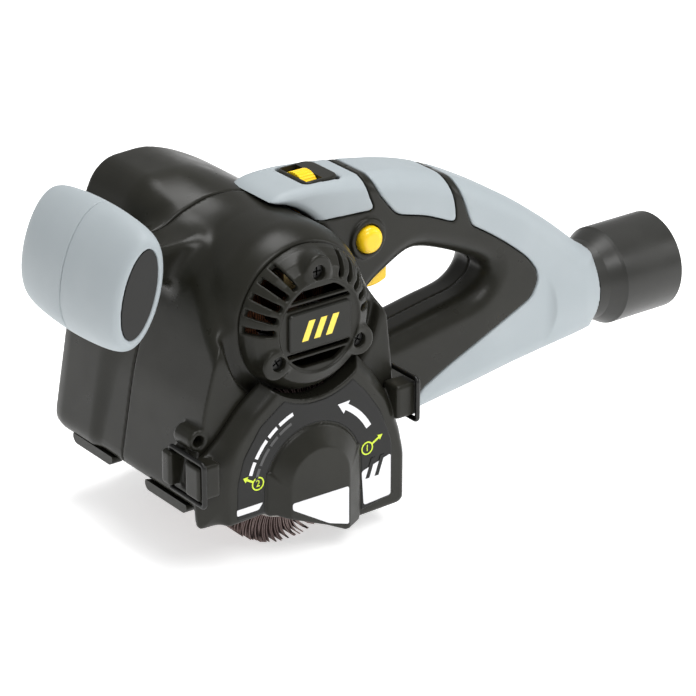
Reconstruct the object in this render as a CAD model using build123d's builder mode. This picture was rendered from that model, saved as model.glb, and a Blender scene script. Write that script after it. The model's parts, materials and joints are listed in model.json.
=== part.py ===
"""Hand-held flap-drum surface tool: motor over an 80 mm drum, belt drive, D-handle and dust port.

Frame: +X runs to the rear (dust port), +Z up, -Y is the side with the quick-release cover.
The origin is the middle of the tool's box, at the bottom of the drum. Millimetres.
"""
from build123d import *
from math import cos, radians, sin
import os

os.makedirs("parts", exist_ok=True)

# ------------------------------------------------------------------ driving dimensions
DRUM_X = -79.6           # drum axis, measured from the middle of the tool's length
DRUM_R = 40.0            # drum radius, so the axis is this high above the work
DRUM_HALF = 40.0         # half the drum's length along Y
CORE_R = 27.0            # drum core that carries the flaps
SPINDLE_R = 5.0
SHAFT_FIT = 0.03         # radial play of a shaft in its bearing
GAP = 0.4                # clearance round anything that moves
WALL = 3.0               # moulded housing wall

MOTOR_X, MOTOR_Z = 2.6, 114.0     # motor axis, X from the drum axis
BARREL_R = 40.0
STATOR_R = 25.5
ARMATURE_R = 15.0
ROTOR_SHAFT_R = 4.0

HOOD_RIGHT, HOOD_LEFT = -51.0, 62.0       # Y of the hood's two sides
BARREL_LEFT = 6.0                         # Y where the motor barrel meets the hood's hump
COVER_FACE = -60.0                        # Y of the side cover's printed face
TOOL_HALF = 66.0                          # outermost Y on both sides
CHAMBER_R = 44.5                          # free radius round the drum
BULKHEAD_Y, BULKHEAD_T = 44.0, 4.0        # wall that carries the left bearings
PULLEY_Y, PULLEY_T = 51.0, 10.0
DRUM_PULLEY_R, MOTOR_PULLEY_R = 20.0, 11.0
BELT_T = 2.2
PULLEY_ROOM_R = 25.4     # belt compartment's radius round the drum pulley

CAP_R, CAP_BASE, CAP_FACE = 34.5, -48.0, -62.0   # motor end cap, about the motor axis
CAP_SCREW_R = 25.4       # the three cap screws stand on this circle

GRIP_HALF = 18.0         # half width of the D-handle
PAD_T = 2.4              # thickness of the soft grip pads
PORT_Z = 62.5            # dust port axis
COLLAR_R, COLLAR_X = 19.5, 203.0
SLEEVE_R, SLEEVE_BORE_R = 24.5, 21.5
SLEEVE_X0, SLEEVE_X1 = 217.0, 252.5

FRONT_GRIP_X, FRONT_GRIP_Z = -76.0, 141.0
FRONT_GRIP_LEAN = 16.0   # degrees, top towards the rear
FRONT_GRIP_HALF = 39.0

WIRE_R = 1.2             # latch wire


# ------------------------------------------------------------------ planes and helpers
def side(y=0.0, x=0.0, z=0.0):
    """Side view: local x is X from the drum axis, local y is Z, the normal is -Y."""
    return Plane(origin=(DRUM_X + x, y, z), x_dir=(1, 0, 0), z_dir=(0, -1, 0))


def facing(x, y=0.0, z=0.0):
    """Seen from the rear: local x is Y, local y is Z, the normal is +X."""
    return Plane(origin=(DRUM_X + x, y, z), x_dir=(0, 1, 0), z_dir=(1, 0, 0))


def level(z, x=0.0, y=0.0):
    """Seen from above: local x is X from the drum axis, local y is Y."""
    return Plane(origin=(DRUM_X + x, y, z), x_dir=(1, 0, 0), z_dir=(0, 0, 1))


def save(piece, label):
    piece.part.label = label
    export_step(piece.part, f"parts/{label}.step")


def turned(centre, steps, bore=0.0):
    """A turned part along Y: each step is (y0, y1, radius), y0 the more negative end."""
    with BuildPart() as piece:
        for y0, y1, radius in steps:
            with BuildSketch(side(y1, *centre)):
                Circle(radius)
            extrude(amount=y1 - y0)
        if bore:
            with BuildSketch(side(steps[-1][1], *centre)):
                Circle(bore)
            extrude(amount=steps[-1][1] - steps[0][0], mode=Mode.SUBTRACT)
    return piece


def prism(outline, y0, y1):
    """A closed side-view outline, given as points, carried from y0 to y1."""
    with BuildPart() as piece:
        with BuildSketch(side(y1)):
            with BuildLine():
                Polyline(*outline, close=True)
            make_face()
        extrude(amount=y1 - y0)
    return piece.part


def cylinder_y(centre, radius, y0, y1):
    """A plain cylinder along Y, to add or cut."""
    with BuildPart() as piece:
        with BuildSketch(side(y1, *centre)):
            Circle(radius)
        extrude(amount=y1 - y0)
    return piece.part


DRUM_AXIS = (0.0, DRUM_R)
MOTOR_AXIS = (MOTOR_X, MOTOR_Z)


# ------------------------------------------------------------------ drum, on its own axis
def drum_parts():
    flaps = turned(DRUM_AXIS, [(-DRUM_HALF, DRUM_HALF, DRUM_R)], bore=CORE_R + 0.05)
    save(flaps, "abrasive_flaps")
    core = turned(DRUM_AXIS, [(-DRUM_HALF - 0.6, DRUM_HALF + 0.6, CORE_R)], bore=CORE_R - 4.5)
    save(core, "drum_core")
    hub_r, hub_t = CORE_R - 4.55, 12.0
    for label, y0, flange_y0 in (("drum_hub_right", -DRUM_HALF, -DRUM_HALF),
                                 ("drum_hub_left", DRUM_HALF - hub_t, DRUM_HALF - 3)):
        hub = hub_with_holes(y0, y0 + hub_t, hub_r)
        save(hub, label)
    spindle = turned(DRUM_AXIS, [(-57.5, 62.8, SPINDLE_R)])
    save(spindle, "drum_spindle")
    spacer = turned(DRUM_AXIS, [(DRUM_HALF + 0.05, BULKHEAD_Y - GAP, 8)], bore=SPINDLE_R + SHAFT_FIT)
    save(spacer, "drum_spacer")
    with BuildPart() as nut:
        with BuildSketch(side(-DRUM_HALF - 0.65, *DRUM_AXIS)):
            Circle(13)
        extrude(amount=1.2)
        with BuildSketch(side(-DRUM_HALF - 1.65, *DRUM_AXIS)):
            RegularPolygon(9.8, 6)
        extrude(amount=5.3)
        chamfer(nut.faces().sort_by(Axis.Y)[0].edges(), 0.8)
        with BuildSketch(side(-DRUM_HALF, *DRUM_AXIS)):
            Circle(SPINDLE_R + SHAFT_FIT)
        extrude(amount=10, mode=Mode.SUBTRACT)
    save(nut, "drum_flange_nut")


def hub_with_holes(y0, y1, radius):
    """A moulded drum hub: a disc with six lightening holes round its bore."""
    with BuildPart() as hub:
        with BuildSketch(side(y1, *DRUM_AXIS)):
            Circle(radius)
            Circle(SPINDLE_R + SHAFT_FIT, mode=Mode.SUBTRACT)
            with PolarLocations(14.5, 6):
                Circle(4.2, mode=Mode.SUBTRACT)
        extrude(amount=y1 - y0)
    return hub


def pulley(centre, radius, bore):
    """A flanged belt pulley."""
    y1 = PULLEY_Y + PULLEY_T
    rim = radius + 2.6
    steps = [(PULLEY_Y, PULLEY_Y + 1, rim), (PULLEY_Y + 1, y1 - 1, radius), (y1 - 1, y1, rim)]
    return turned(centre, steps, bore=bore)


def bearing(centre, y0, y1, radius, bore):
    """A ball bearing drawn as one ring with a groove on each face for its shield."""
    ring = turned(centre, [(y0, y1, radius)], bore=bore)
    groove_in, groove_out = bore + 1.8, radius - 1.8
    for face_y in (y0 + 0.5, y1):
        cut = turned(centre, [(face_y - 0.5, face_y, groove_out)], bore=groove_in).part
        with ring:
            add(cut, mode=Mode.SUBTRACT)
    return ring


# ------------------------------------------------------------------ motor
def motor_parts():
    stator_y0, stator_y1 = -26.0, 14.0
    with BuildPart() as stator:
        with BuildSketch(side(stator_y1, *MOTOR_AXIS)):
            Circle(STATOR_R)
            Circle(ARMATURE_R + 0.8, mode=Mode.SUBTRACT)
            with PolarLocations(19.5, 2, start_angle=90):
                Rectangle(6.0, 17.0, mode=Mode.SUBTRACT)
        extrude(amount=stator_y1 - stator_y0)
    save(stator, "stator_core")

    coil_half = 8.1
    with BuildPart() as coils:
        for y1 in (stator_y0 - 0.1, stator_y1 + 8.1):
            with BuildSketch(side(y1, *MOTOR_AXIS)):
                Circle(22.4)
                Circle(16.8, mode=Mode.SUBTRACT)
                Rectangle(2 * coil_half, 60, mode=Mode.SUBTRACT)
            extrude(amount=8)
    save(coils, "field_coils")

    shaft = turned(MOTOR_AXIS, [(-58.5, 62.8, ROTOR_SHAFT_R)])
    save(shaft, "rotor_shaft")
    bore = ROTOR_SHAFT_R + SHAFT_FIT
    with BuildPart() as armature:
        with BuildSketch(side(stator_y1, *MOTOR_AXIS)):
            Circle(ARMATURE_R)
            Circle(bore, mode=Mode.SUBTRACT)
            with PolarLocations(13.4, 12):
                Rectangle(3.6, 1.6, mode=Mode.SUBTRACT)
        extrude(amount=stator_y1 - stator_y0)
    save(armature, "armature_core")
    with BuildPart() as windings:
        for y0, y1 in ((-30.0, stator_y0 - 0.1), (stator_y1 + 0.1, 22.0)):
            with BuildSketch(side(y1, *MOTOR_AXIS)):
                Circle(ARMATURE_R - 1.5)
                Circle(bore, mode=Mode.SUBTRACT)
            extrude(amount=y1 - y0)
    save(windings, "armature_windings")
    with BuildPart() as commutator:
        with BuildSketch(side(-31.0, *MOTOR_AXIS)):
            Circle(9.0)
            Circle(bore, mode=Mode.SUBTRACT)
            with PolarLocations(8.8, 16):
                Rectangle(1.6, 0.6, mode=Mode.SUBTRACT)
        extrude(amount=10)
    save(commutator, "commutator")
    with BuildPart() as fan:
        with BuildSketch(side(38.0, *MOTOR_AXIS)):
            Circle(23)
        extrude(amount=2)
        with BuildSketch(side(36.0, *MOTOR_AXIS)):
            Circle(8)
            with PolarLocations(15.0, 11):
                Rectangle(14.6, 1.4, rotation=28)
        extrude(amount=8)
        with BuildSketch(side(38.0, *MOTOR_AXIS)):
            Circle(bore)
        extrude(amount=10, mode=Mode.SUBTRACT)
    save(fan, "cooling_fan")

    brush_w = 5.0
    with BuildPart() as brushes:
        for direction in (-1, 1):
            with Locations(side(-36.0, MOTOR_X, MOTOR_Z)):
                with Locations((0, direction * 14.4, 0)):
                    Box(brush_w, 10, 6)
    save(brushes, "carbon_brushes")
    with BuildPart() as holders:
        for direction in (-1, 1):
            with Locations(side(-36.0, MOTOR_X, MOTOR_Z)):
                with Locations((0, direction * 15.6, 0)):
                    Box(brush_w + 3, 11, 9)
                    Box(brush_w + 0.2, 11, 6.2, mode=Mode.SUBTRACT)
    save(holders, "brush_holders")

    save(bearing(MOTOR_AXIS, -58.6, -53.0, 9.5, bore), "motor_bearing_right")
    save(bearing(MOTOR_AXIS, BULKHEAD_Y + 0.2, BULKHEAD_Y + 6.8, 10.0, bore), "motor_bearing_left")
    save(pulley(MOTOR_AXIS, MOTOR_PULLEY_R, bore), "motor_pulley")


def drive_parts():
    bore = SPINDLE_R + SHAFT_FIT
    save(bearing(DRUM_AXIS, BULKHEAD_Y + 0.2, BULKHEAD_Y + 6.8, 12.0, bore), "drum_bearing_left")
    save(bearing(DRUM_AXIS, -57.6, -50.5, 10.0, bore), "drum_bearing_right")
    save(pulley(DRUM_AXIS, DRUM_PULLEY_R, bore), "drum_pulley")
    belt_y0, belt_y1 = PULLEY_Y + 1.4, PULLEY_Y + PULLEY_T - 1.4
    with BuildPart() as belt:
        for extra, mode in ((GAP + BELT_T, Mode.ADD), (GAP, Mode.SUBTRACT)):
            with BuildSketch(side(belt_y1)):
                with Locations(DRUM_AXIS):
                    Circle(DRUM_PULLEY_R + extra)
                with Locations(MOTOR_AXIS):
                    Circle(MOTOR_PULLEY_R + extra)
                make_hull()
            extrude(amount=belt_y1 - belt_y0, mode=mode)
    save(belt, "drive_belt")


# ------------------------------------------------------------------ hood and motor housing
HOOD_LOWER = [(-60, 38), (-52, 83), (-46, 106), (50, 104), (53, 60), (53, 11), (36, 11)]
HOOD_HUMP = [(-60, 38), (-52, 83), (-42, 144), (-37, 153), (-34, 160), (-28, 163), (-8, 164),
             (5, 160), (19, 153), (33, 144), (45, 132), (50, 110), (53, 60), (53, 11), (36, 11)]


def inset_prism(outline, inset, y0, y1):
    """The same outline drawn in by a wall, carried from y0 to y1."""
    with BuildPart() as piece:
        with BuildSketch(side(y1)):
            with BuildLine():
                Polyline(*outline, close=True)
            make_face()
            offset(amount=-inset, kind=Kind.INTERSECTION, mode=Mode.REPLACE)
        extrude(amount=y1 - y0)
    return piece.part


def hood_parts():
    chamber_wall_r = CHAMBER_R + 2.5
    wall_in = HOOD_RIGHT + WALL
    bulkhead_y1 = BULKHEAD_Y + BULKHEAD_T
    outer = prism(HOOD_LOWER, HOOD_RIGHT, BARREL_LEFT) + prism(HOOD_HUMP, BARREL_LEFT, HOOD_LEFT)
    chamber_ring = cylinder_y(DRUM_AXIS, chamber_wall_r, HOOD_RIGHT, BULKHEAD_Y) & outer
    duct_hole = duct_cutter()
    handle_clear = handle_block(0.5)
    with BuildPart() as hood:
        add(outer)
        add(inset_prism(HOOD_LOWER, WALL, wall_in, BULKHEAD_Y), mode=Mode.SUBTRACT)
        add(inset_prism(HOOD_HUMP, WALL, BARREL_LEFT + WALL, BULKHEAD_Y), mode=Mode.SUBTRACT)
        add(cylinder_y(DRUM_AXIS, PULLEY_ROOM_R + WALL, BULKHEAD_Y, HOOD_LEFT))
        add(inset_prism(HOOD_HUMP, WALL, bulkhead_y1, HOOD_LEFT), mode=Mode.SUBTRACT)
        add(cylinder_y(DRUM_AXIS, PULLEY_ROOM_R, bulkhead_y1, HOOD_LEFT), mode=Mode.SUBTRACT)
        add(chamber_ring)
        add(cylinder_y(DRUM_AXIS, CHAMBER_R, HOOD_RIGHT, BULKHEAD_Y), mode=Mode.SUBTRACT)
        add(prism([(-70, -1), (-70, 37.9), (-50, 37.9), (0, 20), (35, 11), (70, 11), (70, -1)],
                  HOOD_RIGHT - 1, BULKHEAD_Y), mode=Mode.SUBTRACT)
        for centre, radius in ((DRUM_AXIS, 12.0), (MOTOR_AXIS, 10.0)):
            add(cylinder_y(centre, radius + 3, bulkhead_y1 - 0.1, bulkhead_y1 + 2))
            add(cylinder_y(centre, radius + 0.05, BULKHEAD_Y - 1, bulkhead_y1 + 3), mode=Mode.SUBTRACT)
        add(cylinder_y(MOTOR_AXIS, BARREL_R + 0.2, HOOD_RIGHT - 1, BARREL_LEFT), mode=Mode.SUBTRACT)
        add(cylinder_y(MOTOR_AXIS, 29.0, HOOD_RIGHT, BARREL_LEFT + WALL + 0.1) - cylinder_y(
            DRUM_AXIS, chamber_wall_r, HOOD_RIGHT - 1, BULKHEAD_Y), mode=Mode.SUBTRACT)
        add(handle_clear, mode=Mode.SUBTRACT)
        add(duct_hole, mode=Mode.SUBTRACT)
        for place in BELT_COVER_SCREWS:
            add(cylinder_y(place, 4.2, bulkhead_y1 - 0.1, HOOD_LEFT - 0.2))
            add(cylinder_y(place, 1.8, bulkhead_y1 + 3, HOOD_LEFT), mode=Mode.SUBTRACT)
        for x, z, outward in LATCHES:
            add(latch_lug(x, z, outward))
            add(wire_bore(x, z), mode=Mode.SUBTRACT)
        add(stem_bolt_hole(), mode=Mode.SUBTRACT)
    save(hood, "hood_shell")

    web_outer = BARREL_R - 1
    with BuildPart() as barrel:
        with BuildSketch(side(BARREL_LEFT - 0.2, *MOTOR_AXIS)):
            Circle(BARREL_R)
            Circle(BARREL_R - WALL, mode=Mode.SUBTRACT)
        extrude(amount=BARREL_LEFT - 0.2 - CAP_BASE - 0.2)
        with BuildSketch(side(BARREL_LEFT - 0.2, *MOTOR_AXIS)):
            Circle(28.2)
            with PolarLocations((28.2 + web_outer) / 2, 4, start_angle=0, angular_range=270,
                                endpoint=True):
                Rectangle(web_outer - 27, 3)
            Circle(STATOR_R + 0.1, mode=Mode.SUBTRACT)
        extrude(amount=32)
        with BuildSketch(side(CAP_BASE + 3.2, *MOTOR_AXIS)):
            Circle(BARREL_R - 1)
            Circle(CAP_R - 4, mode=Mode.SUBTRACT)
        extrude(amount=3)
        rim = barrel.edges().filter_by(GeomType.CIRCLE).sort_by(Axis.Y)[:6].sort_by(SortBy.RADIUS)[-1]
        chamfer(rim, 3.2)
        with BuildSketch(side(CAP_BASE + 10, *MOTOR_AXIS)):
            with PolarLocations(CAP_SCREW_R, 3, start_angle=90):
                Circle(4)
            with PolarLocations((CAP_SCREW_R + web_outer) / 2, 3, start_angle=90):
                Rectangle(web_outer - CAP_SCREW_R, 4)
        extrude(amount=9.8)
        with BuildSketch(side(CAP_BASE + 11, *MOTOR_AXIS)):
            with PolarLocations(CAP_SCREW_R, 3, start_angle=90):
                Circle(1.7)
        extrude(amount=12, mode=Mode.SUBTRACT)
        add(cylinder_y(DRUM_AXIS, chamber_wall_r + 0.3, -60, 10), mode=Mode.SUBTRACT)
        add(handle_clear, mode=Mode.SUBTRACT)
        add(stem_bolt_hole(), mode=Mode.SUBTRACT)
    save(barrel, "motor_housing")


# ------------------------------------------------------------------ motor end cap
def end_cap_parts():
    axis = Axis((DRUM_X + MOTOR_X, 0, MOTOR_Z), (0, 1, 0))
    slot_angles = [62 - 15 * step for step in range(5)]
    louvre_pitch, louvre_h, grille_r = 4.6, 2.4, 20.5
    with BuildPart() as cap:
        with BuildSketch(level(MOTOR_Z, MOTOR_X)):
            with BuildLine():
                Polyline((0, CAP_FACE), (24, CAP_FACE), (29, CAP_FACE + 3.5), (32.5, CAP_FACE + 8),
                         (CAP_R, CAP_BASE), (31.2, CAP_BASE), (29.4, CAP_FACE + 9),
                         (27, CAP_FACE + 5.8), (23, CAP_FACE + 3.2), (12.6, CAP_FACE + 3.2),
                         (12.6, CAP_BASE - 4), (0, CAP_BASE - 4), close=True)
            make_face()
        revolve(axis=axis)
        with BuildSketch(side(CAP_BASE, *MOTOR_AXIS)):
            with PolarLocations(CAP_SCREW_R, 3, start_angle=90):
                Circle(5)
        extrude(amount=12)
        with BuildSketch(side(-58.7, *MOTOR_AXIS)):
            Circle(9.55)
        extrude(amount=-20, mode=Mode.SUBTRACT)
        for angle in slot_angles + [180 - angle for angle in slot_angles]:
            with BuildSketch(side(-54, *MOTOR_AXIS)):
                with PolarLocations(CAP_R - 4.5, 1, start_angle=angle):
                    SlotOverall(11, 3.4)
            extrude(amount=12, mode=Mode.SUBTRACT)
        with BuildSketch(side(CAP_FACE + 1.6, *MOTOR_AXIS)):
            for row in (-3.4, -2.4, 2.4, 3.4):
                z = row * louvre_pitch
                half = (grille_r ** 2 - (abs(z) + louvre_h / 2) ** 2) ** 0.5
                with Locations((0, z)):
                    Rectangle(2 * half, louvre_h)
        extrude(amount=3, mode=Mode.SUBTRACT)
        with BuildSketch(side(CAP_FACE + 1, *MOTOR_AXIS)):
            RectangleRounded(34, 18.6, 2)
        extrude(amount=3, mode=Mode.SUBTRACT)
        with BuildSketch(side(CAP_FACE + 5, *MOTOR_AXIS)):
            with PolarLocations(CAP_SCREW_R, 3, start_angle=90):
                Circle(3.4)
        extrude(amount=6, mode=Mode.SUBTRACT)
        with BuildSketch(side(CAP_BASE + 1, *MOTOR_AXIS)):
            with PolarLocations(CAP_SCREW_R, 3, start_angle=90):
                Circle(1.8)
        extrude(amount=20, mode=Mode.SUBTRACT)
    save(cap, "motor_end_cap")

    with BuildPart() as screws:
        with BuildSketch(side(CAP_FACE + 4.9, *MOTOR_AXIS)):
            with PolarLocations(CAP_SCREW_R, 3, start_angle=90):
                Circle(3.1)
        extrude(amount=2.4)
        with BuildSketch(side(CAP_BASE + 9, *MOTOR_AXIS)):
            with PolarLocations(CAP_SCREW_R, 3, start_angle=90):
                Circle(1.65)
        extrude(amount=CAP_BASE + 9 - CAP_FACE - 4.9)
        with BuildSketch(side(CAP_FACE + 3.9, *MOTOR_AXIS)):
            with PolarLocations(CAP_SCREW_R, 3, start_angle=90):
                Rectangle(4.2, 0.8)
                Rectangle(0.8, 4.2)
        extrude(amount=3, mode=Mode.SUBTRACT)
    save(screws, "end_cap_screws")

    with BuildPart() as badge:
        with BuildSketch(side(CAP_FACE + 0.95, *MOTOR_AXIS)):
            RectangleRounded(33.6, 18.2, 1.8)
        extrude(amount=1.8)
        chamfer(badge.faces().sort_by(Axis.Y)[0].edges(), 0.5)
    save(badge, "end_cap_badge")


# ------------------------------------------------------------------ side covers
BELT_COVER_SCREWS = [(-44, 60), (-28, 142), (22, 140), (42, 70), (43, 24)]
COVER_OUTLINE = [(-58, 28), (-59.5, 42), (-56, 62), (-46, 70), (-35, 82), (-23, 91), (-18, 96),
                 (26, 94), (38, 79), (47, 65), (52, 50), (53, 38), (53, 14), (50, 11),
                 (20, 10.5), (15, 10), (-14, 27), (-26, 28)]


def arch(radius, bottom):
    """Points of the cover's raised arch: a half circle over straight legs."""
    steps = 12
    top = [(radius * cos(radians(180 - 180 * i / steps)), DRUM_R + radius * sin(radians(180 * i / steps)))
           for i in range(steps + 1)]
    return [(-radius, bottom[0])] + top + [(radius, bottom[1])]


def side_cover_parts():
    cap_clear = cylinder_y(MOTOR_AXIS, CAP_R + 0.8, -80, 0)
    inner = inset_prism(COVER_OUTLINE, WALL, COVER_FACE + 2.6, HOOD_RIGHT) - cylinder_y(
        MOTOR_AXIS, CAP_R + 3.8, -80, 0)
    with BuildPart() as boss_taper:
        for y, points in ((COVER_FACE + 0.2, arch(25.5, (27, 12))), (-TOOL_HALF, arch(16.4, (27.8, 12)))):
            with BuildSketch(side(y)):
                with BuildLine():
                    Polyline(*points, close=True)
                make_face()
        loft(ruled=True)
    under_boss = prism([(-40, 28), (-14, 27), (15, 10), (40, 10), (40, -5), (-40, -5)], -70, -50)
    with BuildPart() as cover:
        with BuildSketch(side(HOOD_RIGHT - 0.2)):
            with BuildLine():
                Polyline(*COVER_OUTLINE, close=True)
            make_face()
        extrude(amount=3.6)
        with BuildSketch(side(HOOD_RIGHT - 3.7)):
            with BuildLine():
                Polyline(*COVER_OUTLINE, close=True)
            make_face()
        extrude(amount=HOOD_RIGHT - 3.7 - COVER_FACE, taper=40)
        add(boss_taper.part)
        add(under_boss, mode=Mode.SUBTRACT)
        add(inner, mode=Mode.SUBTRACT)
        add(cylinder_y(DRUM_AXIS, 13, -60, -51))
        add(cylinder_y(DRUM_AXIS, 10.05, -57.65, -50), mode=Mode.SUBTRACT)
        add(cap_clear, mode=Mode.SUBTRACT)
        add(cylinder_y(MOTOR_AXIS, BARREL_R + 0.4, -51.3, -40), mode=Mode.SUBTRACT)
        for x, z, outward in LATCHES:
            add(latch_keeper(x, z, outward))
    save(cover, "side_cover")

    label_t = 0.5
    with BuildPart() as label:
        with BuildSketch(side(COVER_FACE - 0.02)):
            with BuildLine():
                Polyline((-41, 32), (-40, 48), (-37, 57), close=False)
                ThreePointArc((-37, 57), (0, DRUM_R + 40.4), (41, 48))
                Polyline((41, 48), (44, 40), (44, 18), (42, 16), (27.5, 16), (27.5, 40))
                ThreePointArc((27.5, 40), (0, DRUM_R + 27.5), (-27.5, 40))
                Polyline((-27.5, 40), (-27.5, 30), (-41, 32))
            make_face()
        extrude(amount=label_t)
        add(cap_clear, mode=Mode.SUBTRACT)
    save(label, "cover_label")


def belt_cover_parts():
    pulley_axes = ((DRUM_AXIS, DRUM_PULLEY_R + 7), (MOTOR_AXIS, MOTOR_PULLEY_R + 9))
    with BuildPart() as cover:
        with BuildSketch(side(HOOD_LEFT + 2.4)):
            with BuildLine():
                Polyline(*HOOD_HUMP, close=True)
            make_face()
            offset(amount=-1.2, kind=Kind.INTERSECTION, mode=Mode.REPLACE)
            with Locations(DRUM_AXIS):
                Circle(PULLEY_ROOM_R + WALL - 1.2)
        extrude(amount=2.3)
        for y1, step in ((TOOL_HALF - 1.2, 0), (TOOL_HALF, 1.6)):
            with BuildSketch(side(y1)):
                for centre, radius in pulley_axes:
                    with Locations(centre):
                        Circle(radius - step)
                make_hull()
            extrude(amount=y1 - HOOD_LEFT - 2.3)
        with BuildSketch(side(TOOL_HALF - 2)):
            for centre, radius in pulley_axes:
                with Locations(centre):
                    Circle(radius - 3.2)
            make_hull()
        extrude(amount=6, mode=Mode.SUBTRACT)
        with BuildSketch(side(HOOD_LEFT + 3)):
            with Locations(*BELT_COVER_SCREWS):
                Circle(1.8)
        extrude(amount=6, mode=Mode.SUBTRACT)
    save(cover, "belt_cover")
    with BuildPart() as screws:
        with BuildSketch(side(HOOD_LEFT + 3.9)):
            with Locations(*BELT_COVER_SCREWS):
                Circle(3.2)
        extrude(amount=1.4)
        with BuildSketch(side(HOOD_LEFT + 2.6)):
            with Locations(*BELT_COVER_SCREWS):
                Circle(1.7)
        extrude(amount=10)
    save(screws, "belt_cover_screws")


# ------------------------------------------------------------------ quick-release latches
# Each latch is a wire loop: its upright leg turns in a lug on the hood, its far leg hooks
# behind a keeper on the side cover. Places are (X, middle Z, outward direction along X).
LATCHES = [(-61.8, 55.0, -1), (55.6, 64.0, 1)]
PIVOT_Y, HOOK_Y = -38.0, -64.2
LOOP_HALF_Z = 10.2


def latch_lug(x, z, outward):
    """The block on the hood that the loop's upright leg turns in."""
    depth = 8.6
    with BuildPart() as lug:
        with BuildSketch(level(z - LOOP_HALF_Z + WIRE_R + 0.8, x - outward * 1.3, PIVOT_Y)):
            RectangleRounded(depth, 7.2, 2.2)
        extrude(amount=2 * (LOOP_HALF_Z - WIRE_R - 0.8))
    return lug.part


def wire_bore(x, z):
    with BuildPart() as bore:
        with BuildSketch(level(z - 20, x, PIVOT_Y)):
            Circle(WIRE_R + 0.06)
        extrude(amount=40)
    return bore.part


def latch_keeper(x, z, outward):
    """The block on the side cover that the loop hooks round; its outer corners are bevelled."""
    half = LOOP_HALF_Z - WIRE_R - 0.9
    inner, outer_x = x - outward * 7.5, x + outward * 1.9
    with BuildPart() as keeper:
        with BuildSketch(level(z - half)):
            with BuildLine():
                Polyline((inner, -51.6), (outer_x - outward * 1.2, -51.6), (outer_x, -54.5),
                         (outer_x, -59.5), (outer_x - outward * 1.6, -62.4), (inner, -62.4), close=True)
            make_face()
        extrude(amount=2 * half)
    return keeper.part


def latch_parts():
    for label, (x, z, _) in zip(("front_latch_loop", "rear_latch_loop"), LATCHES):
        corners = [(PIVOT_Y, z - LOOP_HALF_Z), (HOOK_Y, z - LOOP_HALF_Z),
                   (HOOK_Y, z + LOOP_HALF_Z), (PIVOT_Y, z + LOOP_HALF_Z)]
        with BuildPart() as loop:
            with BuildLine(facing(x)) as route:
                FilletPolyline(*corners, radius=1.8, close=True)
            with BuildSketch(level(z, x, PIVOT_Y)):
                Circle(WIRE_R)
            sweep(path=route.wire())
        save(loop, label)


# ------------------------------------------------------------------ D-handle
def handle_outline(extra=0.0):
    """Side outline of the D-handle without its finger gap; its front edge hugs the hood."""
    hug_r = BARREL_R + 0.4 - extra
    start, end = radians(83.5), radians(-13.5)
    on_barrel = [(MOTOR_X + hug_r * cos(a), MOTOR_Z + hug_r * sin(a)) for a in (start, (start + end) / 2, end)]
    top = Spline(on_barrel[0], (16, 159), (32, 159.6), (59, 157.6), (88, 153), (115, 143.5),
                 (147, 126), (173, 107.5), (192, 91.5), (COLLAR_X, 82))
    back = Line(top @ 1, (COLLAR_X, PORT_Z - COLLAR_R))
    under = Spline(back @ 1, (190, 40.5), (153, 36), (126, 32), (96, 28), (86, 25.5), (74, 24.5))
    hood_rear = Polyline(under @ 1, (53.3 - extra, 23), (53.3 - extra, 60), (50.6 - extra, 104.4),
                         on_barrel[2])
    hug = ThreePointArc(hood_rear @ 1, on_barrel[1], on_barrel[0])
    return [top, back, under, hood_rear, hug]


def finger_gap():
    return Spline((61, 84), (64, 98), (79, 107), (92, 111.5), (110, 106.5), (131, 96.5), (136, 89.5),
                  (128, 81), (108, 77), (72, 71), (63.5, 73.5), periodic=True)


def facet_points(curves, step=7.0):
    """Points along curves laid end to end, about one step apart."""
    points = []
    for curve in curves:
        count = 1 if curve.geom_type == GeomType.LINE else max(2, round(curve.length / step))
        points += [curve @ (i / count) for i in range(count)]
    return points


def handle_sketch(inset):
    """The handle's D outline drawn in by inset, with its finger gap grown by as much."""
    if not inset:
        with BuildSketch(Plane.XY) as outline:
            with BuildLine():
                handle_outline()
            make_face()
            with BuildLine():
                finger_gap()
            make_face(mode=Mode.SUBTRACT)
        return outline.sketch
    with BuildLine() as outer_line:
        handle_outline()
    with BuildLine() as gap_line:
        finger_gap()
    with BuildSketch(Plane.XY) as gap:
        with BuildLine():
            Polyline(*facet_points(gap_line.edges()), close=True)
        make_face()
        offset(amount=inset, mode=Mode.REPLACE)
    with BuildSketch(Plane.XY) as outline:
        with BuildLine():
            Polyline(*facet_points(outer_line.wires()[0].order_edges()), close=True)
        make_face()
        offset(amount=-inset, mode=Mode.REPLACE)
        add(gap.sketch, mode=Mode.SUBTRACT)
    return outline.sketch


def handle_solid(inset, edge_radius=0.0):
    half = GRIP_HALF - inset
    with BuildPart() as solid:
        with BuildSketch(side(half)):
            add(handle_sketch(inset))
        extrude(amount=2 * half)
        if edge_radius:
            rims = solid.faces().filter_by(Axis.Y).edges()
            clear_of_hood = rims.filter_by(lambda e: (e @ 0.5).X > DRUM_X + 54 or (e @ 0.5).Z > 155)
            fillet(clear_of_hood, edge_radius)
    return solid.part


def handle_block(extra):
    with BuildPart() as block:
        with BuildSketch(side(GRIP_HALF + extra)):
            with BuildLine():
                handle_outline(extra)
            make_face()
        extrude(amount=2 * (GRIP_HALF + extra))
    return block.part


def duct_cutter():
    with BuildPart() as cutter:
        with BuildSketch(facing(38, 0, 45)):
            Circle(12.4)
        extrude(amount=30)
    return cutter.part


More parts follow.
